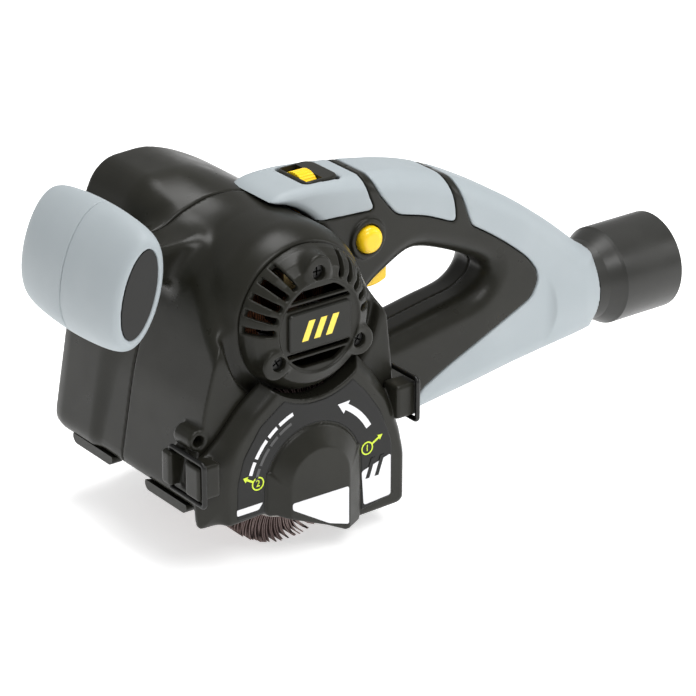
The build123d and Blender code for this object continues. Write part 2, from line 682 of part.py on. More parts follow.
# Side-view regions of the three soft pads.
PAD_REGIONS = {
    "grip_pad_front": [(5, 175), (61, 175), (60.5, 156), (63, 147), (66.5, 139.5), (48, 140.5),
                       (32, 141.5), (20, 147), (5, 152)],
    "grip_pad_middle": [(65, 175), (65, 156), (69, 146.5), (79, 134), (97, 129), (114, 121.5),
                        (113.5, 130), (111, 140), (108, 148), (108, 175)],
    "grip_pad_rear": [(114, 175), (114, 146), (117, 136), (122, 122), (124, 117.5), (136, 110), (147, 102),
                      (158, 93), (164, 85), (165, 79), (161, 71), (150, 66), (131, 57.5), (111, 49),
                      (95, 41), (91.5, 36), (91.5, 32), (87, 24), (87, 10), (215, 10), (215, 175)],
}
SHELL_IN = PAD_T + WALL                    # housing's inner face below the grip surface
TRIGGER_X, TRIGGER_LEN, TRIGGER_HALF = 64.0, 17.0, 7.0
BUTTON = (61.7, 126.5)
BUTTON_R = 6.6
DIAL_X, DIAL_Z, DIAL_R, DIAL_HALF = 37.5, 150.2, 9.6, 4.0
BEZEL_X, BEZEL_LEN, BEZEL_Z = 41.0, 20.0, 153.0      # middle, length and underside of the dial's frame
HANDLE_SCREWS = [(107, 126), (150, 96), (175, 84), (80, 66), (59.5, 150)]
CORD_PLACE = (153, 76)
SPIGOT_R = 15.8


def handle_parts():
    outer = handle_solid(0, 6)
    core = handle_solid(PAD_T)
    hollow = handle_solid(SHELL_IN)
    skin = outer - core
    bezel_x0, bezel_x1 = BEZEL_X - BEZEL_LEN / 2 - 0.3, BEZEL_X + BEZEL_LEN / 2 + 0.3
    bezel_room = prism([(bezel_x0, 175), (bezel_x1, 175), (bezel_x1, BEZEL_Z - 0.2), (bezel_x0, BEZEL_Z - 0.2)],
                       -12.5, 12.5)
    pads = {}
    for label, region in PAD_REGIONS.items():
        pads[label] = (skin & prism(region, -30, 30)) - bezel_room

    port_round = turned_x(PORT_Z, [(170, COLLAR_X, COLLAR_R)])
    collar_skin = port_round - turned_x(PORT_Z, [(160, COLLAR_X + 1, COLLAR_R - PAD_T)])
    pads["grip_pad_rear"] = (pads["grip_pad_rear"] - port_round) + collar_skin
    pads["grip_pad_front"] -= cylinder_y(MOTOR_AXIS, BARREL_R + PAD_T + 1, -60, 60)
    for label, pad in pads.items():
        with BuildPart() as piece:
            add(pad)
        save(piece, label)

    shell = outer + port_round
    for pad in pads.values():
        shell = shell - pad
    for place in HANDLE_SCREWS:
        hollow = hollow - cylinder_y(place, 4.2, -15, 15)
    shell = shell - hollow
    shell = shell - turned_x(PORT_Z, [(183, COLLAR_X + 1, SPIGOT_R + 0.1)]) - bezel_room
    slot_half = TRIGGER_HALF + GAP
    shell -= prism([(TRIGGER_X - GAP, 90), (TRIGGER_X + TRIGGER_LEN + GAP, 90),
                    (TRIGGER_X + TRIGGER_LEN + GAP, 121), (TRIGGER_X - GAP, 121)], -slot_half, slot_half)
    shell -= turned_x(DIAL_Z, [(DIAL_X - DIAL_HALF - GAP, DIAL_X + DIAL_HALF + GAP, DIAL_R + GAP)])
    shell -= turned_x(DIAL_Z, [(DIAL_X - 8.1, DIAL_X + 8.1, 1.62)])
    shell += cylinder_y(BUTTON, BUTTON_R + 3.2, -GRIP_HALF - 1.6, -GRIP_HALF + 3)
    shell -= cylinder_y(BUTTON, BUTTON_R + GAP, -GRIP_HALF - 2, -10)
    shell -= cylinder_y(CORD_PLACE, 6.1, 8, GRIP_HALF + 1)
    shell -= duct_entry()
    for label, y0, y1 in (("handle_shell_right", -40, 0), ("handle_shell_left", 0, 40)):
        half = shell & prism([(0, 0), (300, 0), (300, 200), (0, 200)], y0, y1)
        for place in HANDLE_SCREWS:
            half -= cylinder_y(place, 1.9, -11, 30)
            half -= cylinder_y(place, 3.6, 13.0, 30)
        with BuildPart() as piece:
            add(half)
        save(piece, label)

    with BuildPart() as screws:
        for y1, radius, length in ((15.4, 3.3, 2.3), (13.2, 1.8, 23)):
            with BuildSketch(side(y1)):
                with Locations(*HANDLE_SCREWS):
                    Circle(radius)
            extrude(amount=length)
    save(screws, "handle_screws")


def duct_entry():
    """Room for the dust duct where it comes through the handle's front wall."""
    with BuildPart() as entry:
        with BuildSketch(facing(52, 0, 45.4)):
            Circle(12.4)
        extrude(amount=12)
    return entry.part


def turned_x(z, steps):
    """A turned solid along X: each step is (x0, x1, radius)."""
    with BuildPart() as piece:
        for x0, x1, radius in steps:
            with BuildSketch(facing(x0, 0, z)):
                Circle(radius)
            extrude(amount=x1 - x0)
    return piece.part


def control_parts():
    with BuildPart() as bezel:
        with BuildSketch(level(BEZEL_Z, BEZEL_X)):
            RectangleRounded(BEZEL_LEN, 24.4, 5)
        extrude(amount=5.6)
        fillet(bezel.faces().sort_by(Axis.Z)[-1].edges(), 1.2)
        with BuildSketch(level(BEZEL_Z - 0.2, DIAL_X)):
            Rectangle(2 * DIAL_HALF + 0.9, 20.5)
        extrude(amount=8, mode=Mode.SUBTRACT)
    save(bezel, "dial_bezel")

    with BuildPart() as dial:
        with BuildSketch(facing(DIAL_X - DIAL_HALF, 0, DIAL_Z)):
            Circle(DIAL_R)
            with PolarLocations(DIAL_R + 0.25, 36):
                Circle(0.55, mode=Mode.SUBTRACT)
            Circle(1.6, mode=Mode.SUBTRACT)
        extrude(amount=2 * DIAL_HALF)
    save(dial, "speed_dial")

    with BuildPart() as dial_pin:
        with BuildSketch(facing(DIAL_X - 8, 0, DIAL_Z)):
            Circle(1.55)
        extrude(amount=16)
    save(dial_pin, "dial_pin")

    with BuildPart() as button:
        with BuildSketch(side(-GRIP_HALF + 6, *BUTTON)):
            Circle(BUTTON_R)
        extrude(amount=11)
        fillet(button.faces().sort_by(Axis.Y)[0].edges(), 3.4)
    save(button, "lock_button")

    with BuildPart() as trigger:
        with BuildSketch(side(TRIGGER_HALF)):
            with BuildLine():
                Polyline((TRIGGER_X, 118), (TRIGGER_X, 98))
                ThreePointArc((TRIGGER_X, 98), (TRIGGER_X + 8, 95.6), (TRIGGER_X + TRIGGER_LEN, 97.5))
                Polyline((TRIGGER_X + TRIGGER_LEN, 97.5), (TRIGGER_X + TRIGGER_LEN, 118),
                         (TRIGGER_X, 118))
            make_face()
        extrude(amount=2 * TRIGGER_HALF)
        fillet(trigger.faces().sort_by(Axis.Z)[0].edges(), 1.8)
    save(trigger, "trigger")

    with BuildPart() as switch:
        with Locations(side(0, TRIGGER_X + 20, 133)):
            Box(26, 15, 18)
    save(switch, "switch_body")

    with BuildPart() as board:
        with Locations(side(0, 71, 146)):
            Box(12, 2, 20)
    save(board, "speed_control_board")

    for label, plane, length in (
            ("trigger_spring", level(118.1, TRIGGER_X + 3.6), 9.5),
            ("lock_spring", side(-5.5, *BUTTON), 3.2)):
        with BuildPart() as spring:
            with BuildSketch(plane):
                Circle(3.0)
                Circle(2.2, mode=Mode.SUBTRACT)
            extrude(amount=length)
        save(spring, label)


# ------------------------------------------------------------------ dust extraction
def dust_parts():
    duct_r, duct_wall = 11.4, 1.4
    with BuildPart() as duct:
        with BuildLine(side()) as route:
            FilletPolyline((46.5, 45), (80, 48), (125, 54.5), (165, PORT_Z), (190, PORT_Z), radius=60)
        with BuildSketch(Plane(origin=route.line @ 0, z_dir=route.line % 0)):
            Circle(duct_r)
        sweep(path=route.wire())
        with BuildSketch(facing(183.5, 0, PORT_Z)):
            Circle(duct_r)
        with BuildSketch(facing(192, 0, PORT_Z)):
            Circle(SPIGOT_R)
        loft(ruled=True)
        with BuildSketch(facing(192, 0, PORT_Z)):
            Circle(SPIGOT_R)
        extrude(amount=22)
    with BuildPart() as bore:
        with BuildSketch(Plane(origin=route.line @ 0, z_dir=route.line % 0)):
            Circle(duct_r - duct_wall)
        sweep(path=route.wire())
        with BuildSketch(facing(183.5, 0, PORT_Z)):
            Circle(duct_r - duct_wall)
        with BuildSketch(facing(192, 0, PORT_Z)):
            Circle(SPIGOT_R - 1.8)
        loft(ruled=True)
        with BuildSketch(facing(192, 0, PORT_Z)):
            Circle(SPIGOT_R - 1.8)
        extrude(amount=23)
    with duct:
        add(bore.part, mode=Mode.SUBTRACT)
    save(duct, "dust_duct")

    axis = Axis((DRUM_X, 0, PORT_Z), (1, 0, 0))
    neck_x = COLLAR_X + 0.8
    seal_x0, seal_x1 = neck_x + 3.0, neck_x + 5.6
    with BuildPart() as adapter:
        with BuildSketch(side(0, 0, PORT_Z)):
            with BuildLine():
                Polyline((neck_x, SPIGOT_R + GAP), (neck_x, 19), (209, 20.2), (215.5, 23.6),
                         (SLEEVE_X0, SLEEVE_R), (SLEEVE_X1 - 0.8, SLEEVE_R), (SLEEVE_X1, SLEEVE_R - 0.8),
                         (SLEEVE_X1, SLEEVE_BORE_R), (SLEEVE_X0, SLEEVE_BORE_R),
                         (214.4, SPIGOT_R + GAP), (seal_x1, SPIGOT_R + GAP), (seal_x1, 17.6),
                         (seal_x0, 17.6), (seal_x0, SPIGOT_R + GAP), close=True)
            make_face()
        revolve(axis=axis)
    save(adapter, "dust_adapter")
    with BuildPart() as seal:
        with BuildSketch(facing(seal_x0 + 0.1, 0, PORT_Z)):
            Circle(17.5)
            Circle(SPIGOT_R + 0.35, mode=Mode.SUBTRACT)
        extrude(amount=seal_x1 - seal_x0 - 0.2)
    save(seal, "adapter_seal")
    with BuildPart() as inlet:
        with BuildSketch(side(GRIP_HALF + 4, *CORD_PLACE)):
            Circle(6)
            Circle(3.6, mode=Mode.SUBTRACT)
        extrude(amount=9)
        with BuildSketch(side(GRIP_HALF + 3, *CORD_PLACE)):
            Circle(7.6)
            Circle(3.6, mode=Mode.SUBTRACT)
        extrude(amount=2.8)
    save(inlet, "cord_inlet")


# ------------------------------------------------------------------ front handle
def leaning(y):
    """Section plane of the front grip: local x is Z leaning back, local y is across it."""
    lean = radians(FRONT_GRIP_LEAN)
    return Plane(origin=(DRUM_X + FRONT_GRIP_X, y, FRONT_GRIP_Z),
                 x_dir=(sin(lean), 0, cos(lean)), z_dir=(0, -1, 0))


STEM = [(-75, 130), (-75, 151), (-44, 152), (-22, 153), (-22, 126)]
STEM_HALF = 13.0


def front_grip_solid(sections):
    with BuildPart() as solid:
        for y, long_r, short_r in sections:
            with BuildSketch(leaning(y)):
                Ellipse(long_r, short_r)
        loft()
    return solid.part


def front_handle_parts():
    core_long, core_short = 20.5, 8.0
    stem_room = prism([(-78, 129.6), (-78, 151.4), (-55, 152.2), (-55, 128)], -STEM_HALF - 0.2,
                      STEM_HALF + 0.2)
    for label, hand in (("front_grip_right", -1), ("front_grip_left", 1)):
        sections = [(0, 30.5, 15.2), (hand * 20, 29.9, 14.9), (hand * 33, 28.4, 14.0),
                    (hand * 37.5, 26.4, 12.4), (hand * FRONT_GRIP_HALF, 24.2, 10.6)]
        room = [(-hand, core_long + 0.1, core_short + 0.1),
                (hand * (FRONT_GRIP_HALF + 1), core_long + 0.1, core_short + 0.1)]
        with BuildPart() as grip:
            add(front_grip_solid(sections))
            add(front_grip_solid(room), mode=Mode.SUBTRACT)
            add(stem_room, mode=Mode.SUBTRACT)
        save(grip, label)
    core_half = FRONT_GRIP_HALF - 1.6
    with BuildPart() as core:
        add(front_grip_solid([(-core_half, core_long, core_short), (core_half, core_long, core_short)]))
        add(prism(STEM, -STEM_HALF, STEM_HALF) - prism(HOOD_HUMP, BARREL_LEFT, 70) - cylinder_y(
            MOTOR_AXIS, BARREL_R + 0.2, -60, 60))
        add(stem_bolt_hole(), mode=Mode.SUBTRACT)
    save(core, "front_handle_core")
    with BuildPart() as caps:
        for y0, y1 in ((-FRONT_GRIP_HALF + 0.4, -core_half - 0.05), (core_half + 0.05, FRONT_GRIP_HALF - 0.4)):
            with BuildSketch(leaning(y1)):
                Ellipse(core_long, core_short)
            extrude(amount=y1 - y0)
    save(caps, "front_grip_caps")
    with BuildPart() as bolt:
        with BuildSketch(facing(-66, 0, 141)):
            RegularPolygon(6.4, 6)
        extrude(amount=5)
        with BuildSketch(facing(-61.5, 0, 141)):
            Circle(3.9)
        extrude(amount=34)
    save(bolt, "front_handle_bolt")


def stem_bolt_hole():
    """Room for the bolt that holds the front handle's stem to the motor hump."""
    with BuildPart() as hole:
        with BuildSketch(facing(-66.1, 0, 141)):
            Circle(6.6)
        extrude(amount=5.2)
        with BuildSketch(facing(-62, 0, 141)):
            Circle(4)
        extrude(amount=35)
    return hole.part


# ------------------------------------------------------------------ skids under the front lip
def skid_parts():
    for label, y0, y1 in (("front_skid_right", -46, -13), ("front_skid_left", 14, 47)):
        with BuildPart() as skid:
            with BuildSketch(facing(-59.5, (y0 + y1) / 2, 36.4)):
                SlotOverall(y1 - y0, 6.4)
            extrude(amount=6)
            add(prism(HOOD_LOWER, -60, 60), mode=Mode.SUBTRACT)
        save(skid, label)


drum_parts()
motor_parts()
drive_parts()
hood_parts()
end_cap_parts()
side_cover_parts()
belt_cover_parts()
latch_parts()
handle_parts()
control_parts()
dust_parts()
front_handle_parts()
skid_parts()
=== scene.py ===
"""Looks of the flap-drum surface tool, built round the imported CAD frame.

The moulded pieces are distance fields turned into meshes: a field gives each point's distance
to the piece's surface, negative inside, so edges round off and forms blend as they do in a mould.
Lengths are millimetres from the drum axis (x to the rear, y to the left, z up from the work),
and mesh() turns them into metres in the frame.
"""
import bpy
import json
import math
import random
import numpy as np
from mathutils import Matrix, Vector


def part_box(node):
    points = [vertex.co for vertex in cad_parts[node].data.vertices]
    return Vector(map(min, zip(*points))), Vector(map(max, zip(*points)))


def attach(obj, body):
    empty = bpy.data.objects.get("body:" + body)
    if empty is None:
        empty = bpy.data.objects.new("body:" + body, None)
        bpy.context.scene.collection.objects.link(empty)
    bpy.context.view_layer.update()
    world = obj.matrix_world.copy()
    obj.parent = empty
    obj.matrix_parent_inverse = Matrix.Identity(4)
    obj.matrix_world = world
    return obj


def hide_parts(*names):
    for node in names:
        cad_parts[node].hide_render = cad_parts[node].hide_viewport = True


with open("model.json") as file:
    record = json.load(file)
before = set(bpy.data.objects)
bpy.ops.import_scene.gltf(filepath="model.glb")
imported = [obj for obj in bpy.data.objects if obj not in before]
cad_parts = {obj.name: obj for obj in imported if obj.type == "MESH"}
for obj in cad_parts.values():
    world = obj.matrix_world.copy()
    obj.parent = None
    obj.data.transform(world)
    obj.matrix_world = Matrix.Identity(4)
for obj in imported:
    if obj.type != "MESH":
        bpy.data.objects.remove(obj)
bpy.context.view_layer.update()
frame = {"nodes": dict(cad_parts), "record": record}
nodes = frame["nodes"]


# ------------------------------------------------------------------ places taken from the frame
def middle(node):
    low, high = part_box(node)
    return (low + high) * 500


DRUM_X = middle("abrasive_flaps").x
DRUM_R = middle("abrasive_flaps").z
CORE_R = (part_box("drum_core")[1].z * 1000) - DRUM_R
DRUM_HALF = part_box("abrasive_flaps")[1].y * 1000
MOTOR_X, MOTOR_Z = middle("rotor_shaft").x - DRUM_X, middle("rotor_shaft").z
BARREL_R = (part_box("motor_housing")[1].z * 1000) - MOTOR_Z
GRIP_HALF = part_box("grip_pad_middle")[1].y * 1000
PORT_Z = middle("dust_adapter").z

HOOD_RIGHT, HOOD_LEFT = -51.0, 62.0
BARREL_LEFT = 6.0
BULKHEAD_Y = 44.0
CHAMBER_R = 44.5
COVER_FACE, BOSS_FACE = -60.0, -66.0
CAP_R, CAP_BASE, CAP_FACE, CAP_SCREW_R = 34.5, -48.0, -62.0, 25.4
PAD_T, COLLAR_R, COLLAR_X = 2.4, 19.5, 203.0
TRIGGER_X, TRIGGER_LEN, TRIGGER_HALF = 64.0, 17.0, 7.0
BUTTON, BUTTON_R = (61.7, 126.5), 6.6
DIAL_X, DIAL_Z, DIAL_R, DIAL_HALF = 37.5, 150.2, 9.6, 4.0
FRONT_GRIP_X, FRONT_GRIP_Z, FRONT_GRIP_LEAN, FRONT_GRIP_HALF = -76.0, 141.0, 16.0, 39.0
LATCHES = [(-61.8, 55.0, -1), (55.6, 64.0, 1)]
PIVOT_Y, LATCH_EYE = -38.0, (-55.5, 70.0)
DRUM_AXIS, MOTOR_AXIS = (0.0, DRUM_R), (MOTOR_X, MOTOR_Z)


# ------------------------------------------------------------------ distance fields
def outline(points, x, z):
    """Distance to a closed outline."""
    ends = np.array(points, np.float32)
    best, inside = np.float32(1e9), False
    for (ax, az), (bx, bz) in zip(ends, np.roll(ends, -1, axis=0)):
        ex, ez = bx - ax, bz - az
        t = np.clip(((x - ax) * ex + (z - az) * ez) / (ex * ex + ez * ez + 1e-9), 0, 1)
        best = np.minimum(best, (x - ax - t * ex) ** 2 + (z - az - t * ez) ** 2)
        crosses = ((az > z) != (bz > z)) & (x < ex * (z - az) / (ez if abs(ez) > 1e-9 else 1.0) + ax)
        inside = inside ^ crosses
    return np.where(inside, -1, 1) * np.sqrt(best)


def circle(centre, radius, x, z):
    return np.hypot(x - centre[0], z - centre[1]) - radius


def join(a, b, k=0.0):
    """Both forms, with a fillet about k wide where they meet."""
    if not k:
        return np.minimum(a, b)
    h = np.clip(0.5 + 0.5 * (b - a) / k, 0, 1)
    return b + (a - b) * h - k * h * (1 - h)


def meet(a, b, k=0.0):
    """What the two forms share, with its edge rounded about k."""
    return -join(-a, -b, k)


def cut(a, b, k=0.0):
    """The first form without the second."""
    return -join(-a, b, k)


def span(v, low, high):
    return np.abs(v - (low + high) / 2) - (high - low) / 2


def solid(flat, y, y0, y1, r=0.0):
    """A side outline carried from y0 to y1, with its rims rounded by r."""
    u, v = flat + r, span(y, y0, y1) + r
    return np.minimum(np.maximum(u, v), 0) + np.hypot(np.maximum(u, 0), np.maximum(v, 0)) - r


def block(x, y, z, spans, r=0.0):
    """A box given by its span along each axis, with rounded edges."""
    u, v, w = (span(value, *ends) + r for value, ends in zip((x, y, z), spans))
    outside = np.sqrt(np.maximum(u, 0) ** 2 + np.maximum(v, 0) ** 2 + np.maximum(w, 0) ** 2)
    return np.minimum(np.maximum(np.maximum(u, v), w), 0) + outside - r


def rounded(points, radius, steps=5):
    """A closed outline with its corners rounded."""
    result = []
    corners = [Vector(p) for p in points]
    for i, corner in enumerate(corners):
        back, on = corners[i - 1] - corner, corners[(i + 1) % len(corners)] - corner
        reach = min(radius, 0.45 * back.length, 0.45 * on.length)
        start, end = corner + back.normalized() * reach, corner + on.normalized() * reach
        for t in (step / steps for step in range(steps + 1)):
            result.append(start * (1 - t) ** 2 + corner * 2 * t * (1 - t) + end * t * t)
    return [tuple(p) for p in result]


def through(points, closed=False, steps=6):
    """Points along a smooth line through the given ones."""
    line = [Vector(p) for p in points]
    count = len(line)
    result = []
    for i in range(count if closed else count - 1):
        p0 = line[i - 1] if closed or i else line[0] * 2 - line[1]
        p1, p2 = line[i], line[(i + 1) % count]
        p3 = line[(i + 2) % count] if closed or i + 2 < count else line[-1] * 2 - line[-2]
        for t in (step / steps for step in range(steps)):
            result.append(0.5 * (2 * p1 + (p2 - p0) * t + (2 * p0 - 5 * p1 + 4 * p2 - p3) * t * t
                                 + (3 * p1 - p0 - 3 * p2 + p3) * t ** 3))
    return [tuple(p) for p in (result if closed else result + [line[-1]])]


def arc(centre, radius, start, end, steps=12):
    """Points along an arc, with angles in degrees from +x towards +z."""
    angles = [math.radians(start + (end - start) * i / steps) for i in range(steps + 1)]
    return [(centre[0] + radius * math.cos(a), centre[1] + radius * math.sin(a)) for a in angles]


# ------------------------------------------------------------------ meshes
def add_object(name, points, faces, material, body, replaced=()):
    """A piece from points in millimetres, in the frame and riding its body."""
    data = bpy.data.meshes.new(name)
    placed = (np.array(points, float) + (DRUM_X, 0, 0)) / 1000
    data.from_pydata(placed.tolist(), [], faces)
    data.update()
    piece = bpy.data.objects.new(name, data)
    bpy.context.scene.collection.objects.link(piece)
    data.materials.append(material)
    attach(piece, body)
    if replaced:
        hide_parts(*replaced)
    return piece


def mesh(name, field, low, high, cell, material, replaced=(), body="root"):
    """The surface where the field is zero: one point in each grid cell that the surface crosses."""
    cell *= 1.0
    axes = [np.arange(a - 2 * cell, b + 3 * cell, cell, dtype=np.float32) for a, b in zip(low, high)]
    grid = np.broadcast_to(field(*np.meshgrid(*axes, indexing="ij", sparse=True)),
                           [len(axis) for axis in axes]).astype(np.float32)
    inside = grid < 0
    corners = [(i, j, k) for i in (0, 1) for j in (0, 1) for k in (0, 1)]
    shape = [n - 1 for n in grid.shape]
    count = sum(inside[i:i + shape[0], j:j + shape[1], k:k + shape[2]].astype(np.int8)
                for i, j, k in corners)
    cells = np.argwhere((count > 0) & (count < 8))
    values = {c: grid[tuple((cells + c).T)] for c in corners}
    total, hits = np.zeros((len(cells), 3)), np.zeros(len(cells))
    for a in corners:
        for axis in range(3):
            if a[axis]:
                continue
            b = tuple(1 if n == axis else v for n, v in enumerate(a))
            crossed = (values[a] < 0) != (values[b] < 0)
            t = np.where(crossed, values[a] / np.where(crossed, values[a] - values[b], 1), 0)
            place = np.array(a, float) + t[:, None] * np.eye(3)[axis]
            total += place * crossed[:, None]
            hits += crossed
    points = (cells + total / hits[:, None]) * cell + [axis[0] for axis in axes]

    number = np.full(shape, -1, np.int64)
    number[tuple(cells.T)] = np.arange(len(cells))
    faces = []
    for axis in range(3):
        one, two = [n for n in range(3) if n != axis]
        ahead = np.roll(inside, -1, axis=axis)
        keep = [slice(1, n - 1) for n in grid.shape]
        edges = np.argwhere((inside != ahead)[tuple(keep)]) + 1
        around = []
        for da, db in ((0, 0), (1, 0), (1, 1), (0, 1)):
            step = np.zeros(3, int)
            step[one], step[two] = da, db
            around.append(number[tuple((edges - step).T)])
        quads = np.stack(around, axis=1)
        flip = inside[tuple(edges.T)] ^ (axis == 1)
        faces.append(np.where(flip[:, None], quads, quads[:, ::-1]))
    faces = np.concatenate(faces)
    piece = add_object(name, points, faces.tolist(), material, body, replaced)
    piece.data.shade_smooth()
    return piece


# ------------------------------------------------------------------ materials
def new_material(name, color, roughness, metallic=0.0):
    material = bpy.data.materials.new(name)
    material.use_nodes = True
    shader = material.node_tree.nodes["Principled BSDF"]
    shader.inputs["Base Color"].default_value = (*color, 1)
    shader.inputs["Roughness"].default_value = roughness
    shader.inputs["Metallic"].default_value = metallic
    return material, material.node_tree, shader


def noise(tree, scale, detail=4.0):
    place = tree.nodes.new("ShaderNodeTexCoord")
    texture = tree.nodes.new("ShaderNodeTexNoise")
    texture.inputs["Scale"].default_value = scale
    texture.inputs["Detail"].default_value = detail
    tree.links.new(place.outputs["Object"], texture.inputs["Vector"])
    return texture.outputs["Fac"]


def ramp(tree, source, low, high):
    """Maps a 0 to 1 source onto colours or numbers from low to high."""
    node = tree.nodes.new("ShaderNodeValToRGB")
    node.color_ramp.elements[0].position, node.color_ramp.elements[1].position = 0.3, 0.7
    for element, value in zip(node.color_ramp.elements, (low, high)):
        element.color = (*value, 1) if isinstance(value, tuple) else (value, value, value, 1)
    tree.links.new(source, node.inputs["Fac"])
    return node.outputs["Color"]


def bump(tree, shader, source, depth, strength):
    node = tree.nodes.new("ShaderNodeBump")
    node.inputs["Strength"].default_value = strength
    node.inputs["Distance"].default_value = depth
    tree.links.new(source, node.inputs["Height"])
    previous = shader.inputs["Normal"].links
    if previous:
        tree.links.new(previous[0].from_socket, node.inputs["Normal"])
    tree.links.new(node.outputs["Normal"], shader.inputs["Normal"])


def moulded(name, low, high, rough, grain=0.00006, grain_scale=2600.0, gloss=0.5):
    """Moulded plastic or rubber: slow colour drift, uneven gloss and a fine spark-eroded grain."""
    material, tree, shader = new_material(name, high, rough[1])
    shader.inputs["Specular IOR Level"].default_value = gloss
    tree.links.new(ramp(tree, noise(tree, 28), low, high), shader.inputs["Base Color"])
    tree.links.new(ramp(tree, noise(tree, 70), *rough), shader.inputs["Roughness"])
    bump(tree, shader, noise(tree, grain_scale, 2.0), grain, 0.5)
    return material


def metal(name, color, rough, brushed=900.0):
    """Machined or drawn metal with fine lines round or along it."""
    material, tree, shader = new_material(name, color, rough[1], 1.0)
    place = tree.nodes.new("ShaderNodeTexCoord")
    stretch = tree.nodes.new("ShaderNodeMapping")
    stretch.inputs["Scale"].default_value = (1, 0.08, 1)
    texture = tree.nodes.new("ShaderNodeTexNoise")
    texture.inputs["Scale"].default_value = brushed
    tree.links.new(place.outputs["Object"], stretch.inputs["Vector"])
    tree.links.new(stretch.outputs["Vector"], texture.inputs["Vector"])
    tree.links.new(ramp(tree, texture.outputs["Fac"], *rough), shader.inputs["Roughness"])
    bump(tree, shader, texture.outputs["Fac"], 0.00003, 0.4)
    return material


def make_abrasive():
    """Coated cloth: dark grit with paler, pinkish worn grains."""
    material, tree, shader = new_material("abrasive", (0.05, 0.03, 0.028), 0.85)
    grit = noise(tree, 2200, 3.0)
    tree.links.new(ramp(tree, grit, (0.012, 0.009, 0.009), (0.16, 0.095, 0.08)), shader.inputs["Base Color"])
    bump(tree, shader, grit, 0.0003, 0.9)
    return material


def make_laminations():
    material, tree, shader = new_material("laminations", (0.25, 0.25, 0.27), 0.45, 0.8)
    place = tree.nodes.new("ShaderNodeTexCoord")
    bands = tree.nodes.new("ShaderNodeTexWave")
    bands.bands_direction = "Y"
    bands.inputs["Scale"].default_value = 320
    tree.links.new(place.outputs["Object"], bands.inputs["Vector"])
    tree.links.new(ramp(tree, bands.outputs["Fac"], (0.12, 0.12, 0.13), (0.34, 0.34, 0.36)),
                   shader.inputs["Base Color"])
    bump(tree, shader, bands.outputs["Fac"], 0.0001, 0.5)
    return material


def make_shaded_copper():
    """Enamelled wire wound side by side, its colour darkened to near black as painted shade of the motor's
    inside seen through the cap's slots.
    """
    material, tree, shader = new_material("copper", (0.6, 0.22, 0.08), 0.3, 0.9)
    place = tree.nodes.new("ShaderNodeTexCoord")
    wires = tree.nodes.new("ShaderNodeTexWave")
    wires.inputs["Scale"].default_value = 260
    wires.inputs["Distortion"].default_value = 3
    tree.links.new(place.outputs["Object"], wires.inputs["Vector"])
    # Painted shade: these winding colours are far darker than copper and stand for the shade inside the
    # motor.
    tree.links.new(ramp(tree, wires.outputs["Fac"], (0.03, 0.012, 0.006), (0.11, 0.042, 0.018)),
                   shader.inputs["Base Color"])
    bump(tree, shader, wires.outputs["Fac"], 0.0002, 0.6)
    return material


MATERIALS = {
    "black_plastic": moulded("black_plastic", (0.0115, 0.0112, 0.0082), (0.0175, 0.0171, 0.0130),
                             (0.26, 0.38), gloss=0.22),
    "grey_grip": moulded("grey_grip", (0.335, 0.375, 0.395), (0.365, 0.405, 0.425), (0.48, 0.60),
                         grain=0.00008, grain_scale=3200),
    "yellow_plastic": moulded("yellow_plastic", (0.93, 0.58, 0.008), (0.97, 0.64, 0.010), (0.22, 0.32)),
    "label": moulded("label", (0.006, 0.006, 0.0055), (0.008, 0.008, 0.0075), (0.30, 0.38), gloss=0.25),
    "badge": moulded("badge", (0.012, 0.012, 0.010), (0.017, 0.017, 0.014), (0.30, 0.38), gloss=0.22),
    "cap_plastic": moulded("cap_plastic", (0.007, 0.007, 0.006), (0.010, 0.010, 0.009), (0.16, 0.24),
                           gloss=0.3),
    "port_plastic": moulded("port_plastic", (0.018, 0.018, 0.016), (0.028, 0.028, 0.025), (0.30, 0.42),
                            gloss=0.35),
    "inner_plastic": moulded("inner_plastic", (0.05, 0.05, 0.05), (0.08, 0.08, 0.08), (0.5, 0.6)),
    "drum_core": moulded("drum_core", (0.36, 0.34, 0.32), (0.55, 0.52, 0.50), (0.7, 0.85), grain=0.0002,
                         grain_scale=1500),
    "belt_rubber": moulded("belt_rubber", (0.012, 0.012, 0.012), (0.022, 0.022, 0.022), (0.7, 0.8)),
    "carbon": moulded("carbon", (0.02, 0.02, 0.02), (0.04, 0.04, 0.04), (0.5, 0.6)),
    # black_steel: blackened steel for the screws; on the end cap its near-black colour also paints the shade
    # down the deep screw holes.
    "black_steel": metal("black_steel", (0.035, 0.035, 0.034), (0.32, 0.45)),
    "steel": metal("steel", (0.52, 0.52, 0.53), (0.24, 0.38)),
    "aluminium": metal("aluminium", (0.72, 0.72, 0.74), (0.28, 0.4)),
    "brass": metal("brass", (0.42, 0.31, 0.14), (0.25, 0.38)),
    "abrasive": make_abrasive(),
    "laminations": make_laminations(),
    "copper": make_shaded_copper(),
}
WHITE_PRINT = moulded("white_print", (0.72, 0.72, 0.74), (0.78, 0.78, 0.80), (0.32, 0.4))
GREEN_PRINT = moulded("green_print", (0.55, 0.70, 0.02), (0.60, 0.76, 0.03), (0.35, 0.45))
FLAP_EDGE = moulded("flap_edge", (0.10, 0.065, 0.06), (0.42, 0.32, 0.30), (0.75, 0.9), grain_scale=1800)
YELLOW_PRINT = moulded("yellow_print", (0.82, 0.62, 0.06), (0.88, 0.68, 0.08), (0.35, 0.45))

slots = {row["node"]: row["material_slot"] for row in frame["record"]["subparts"]}
for node, piece in nodes.items():
    piece.data.materials.clear()
    piece.data.materials.append(MATERIALS[slots[node]])


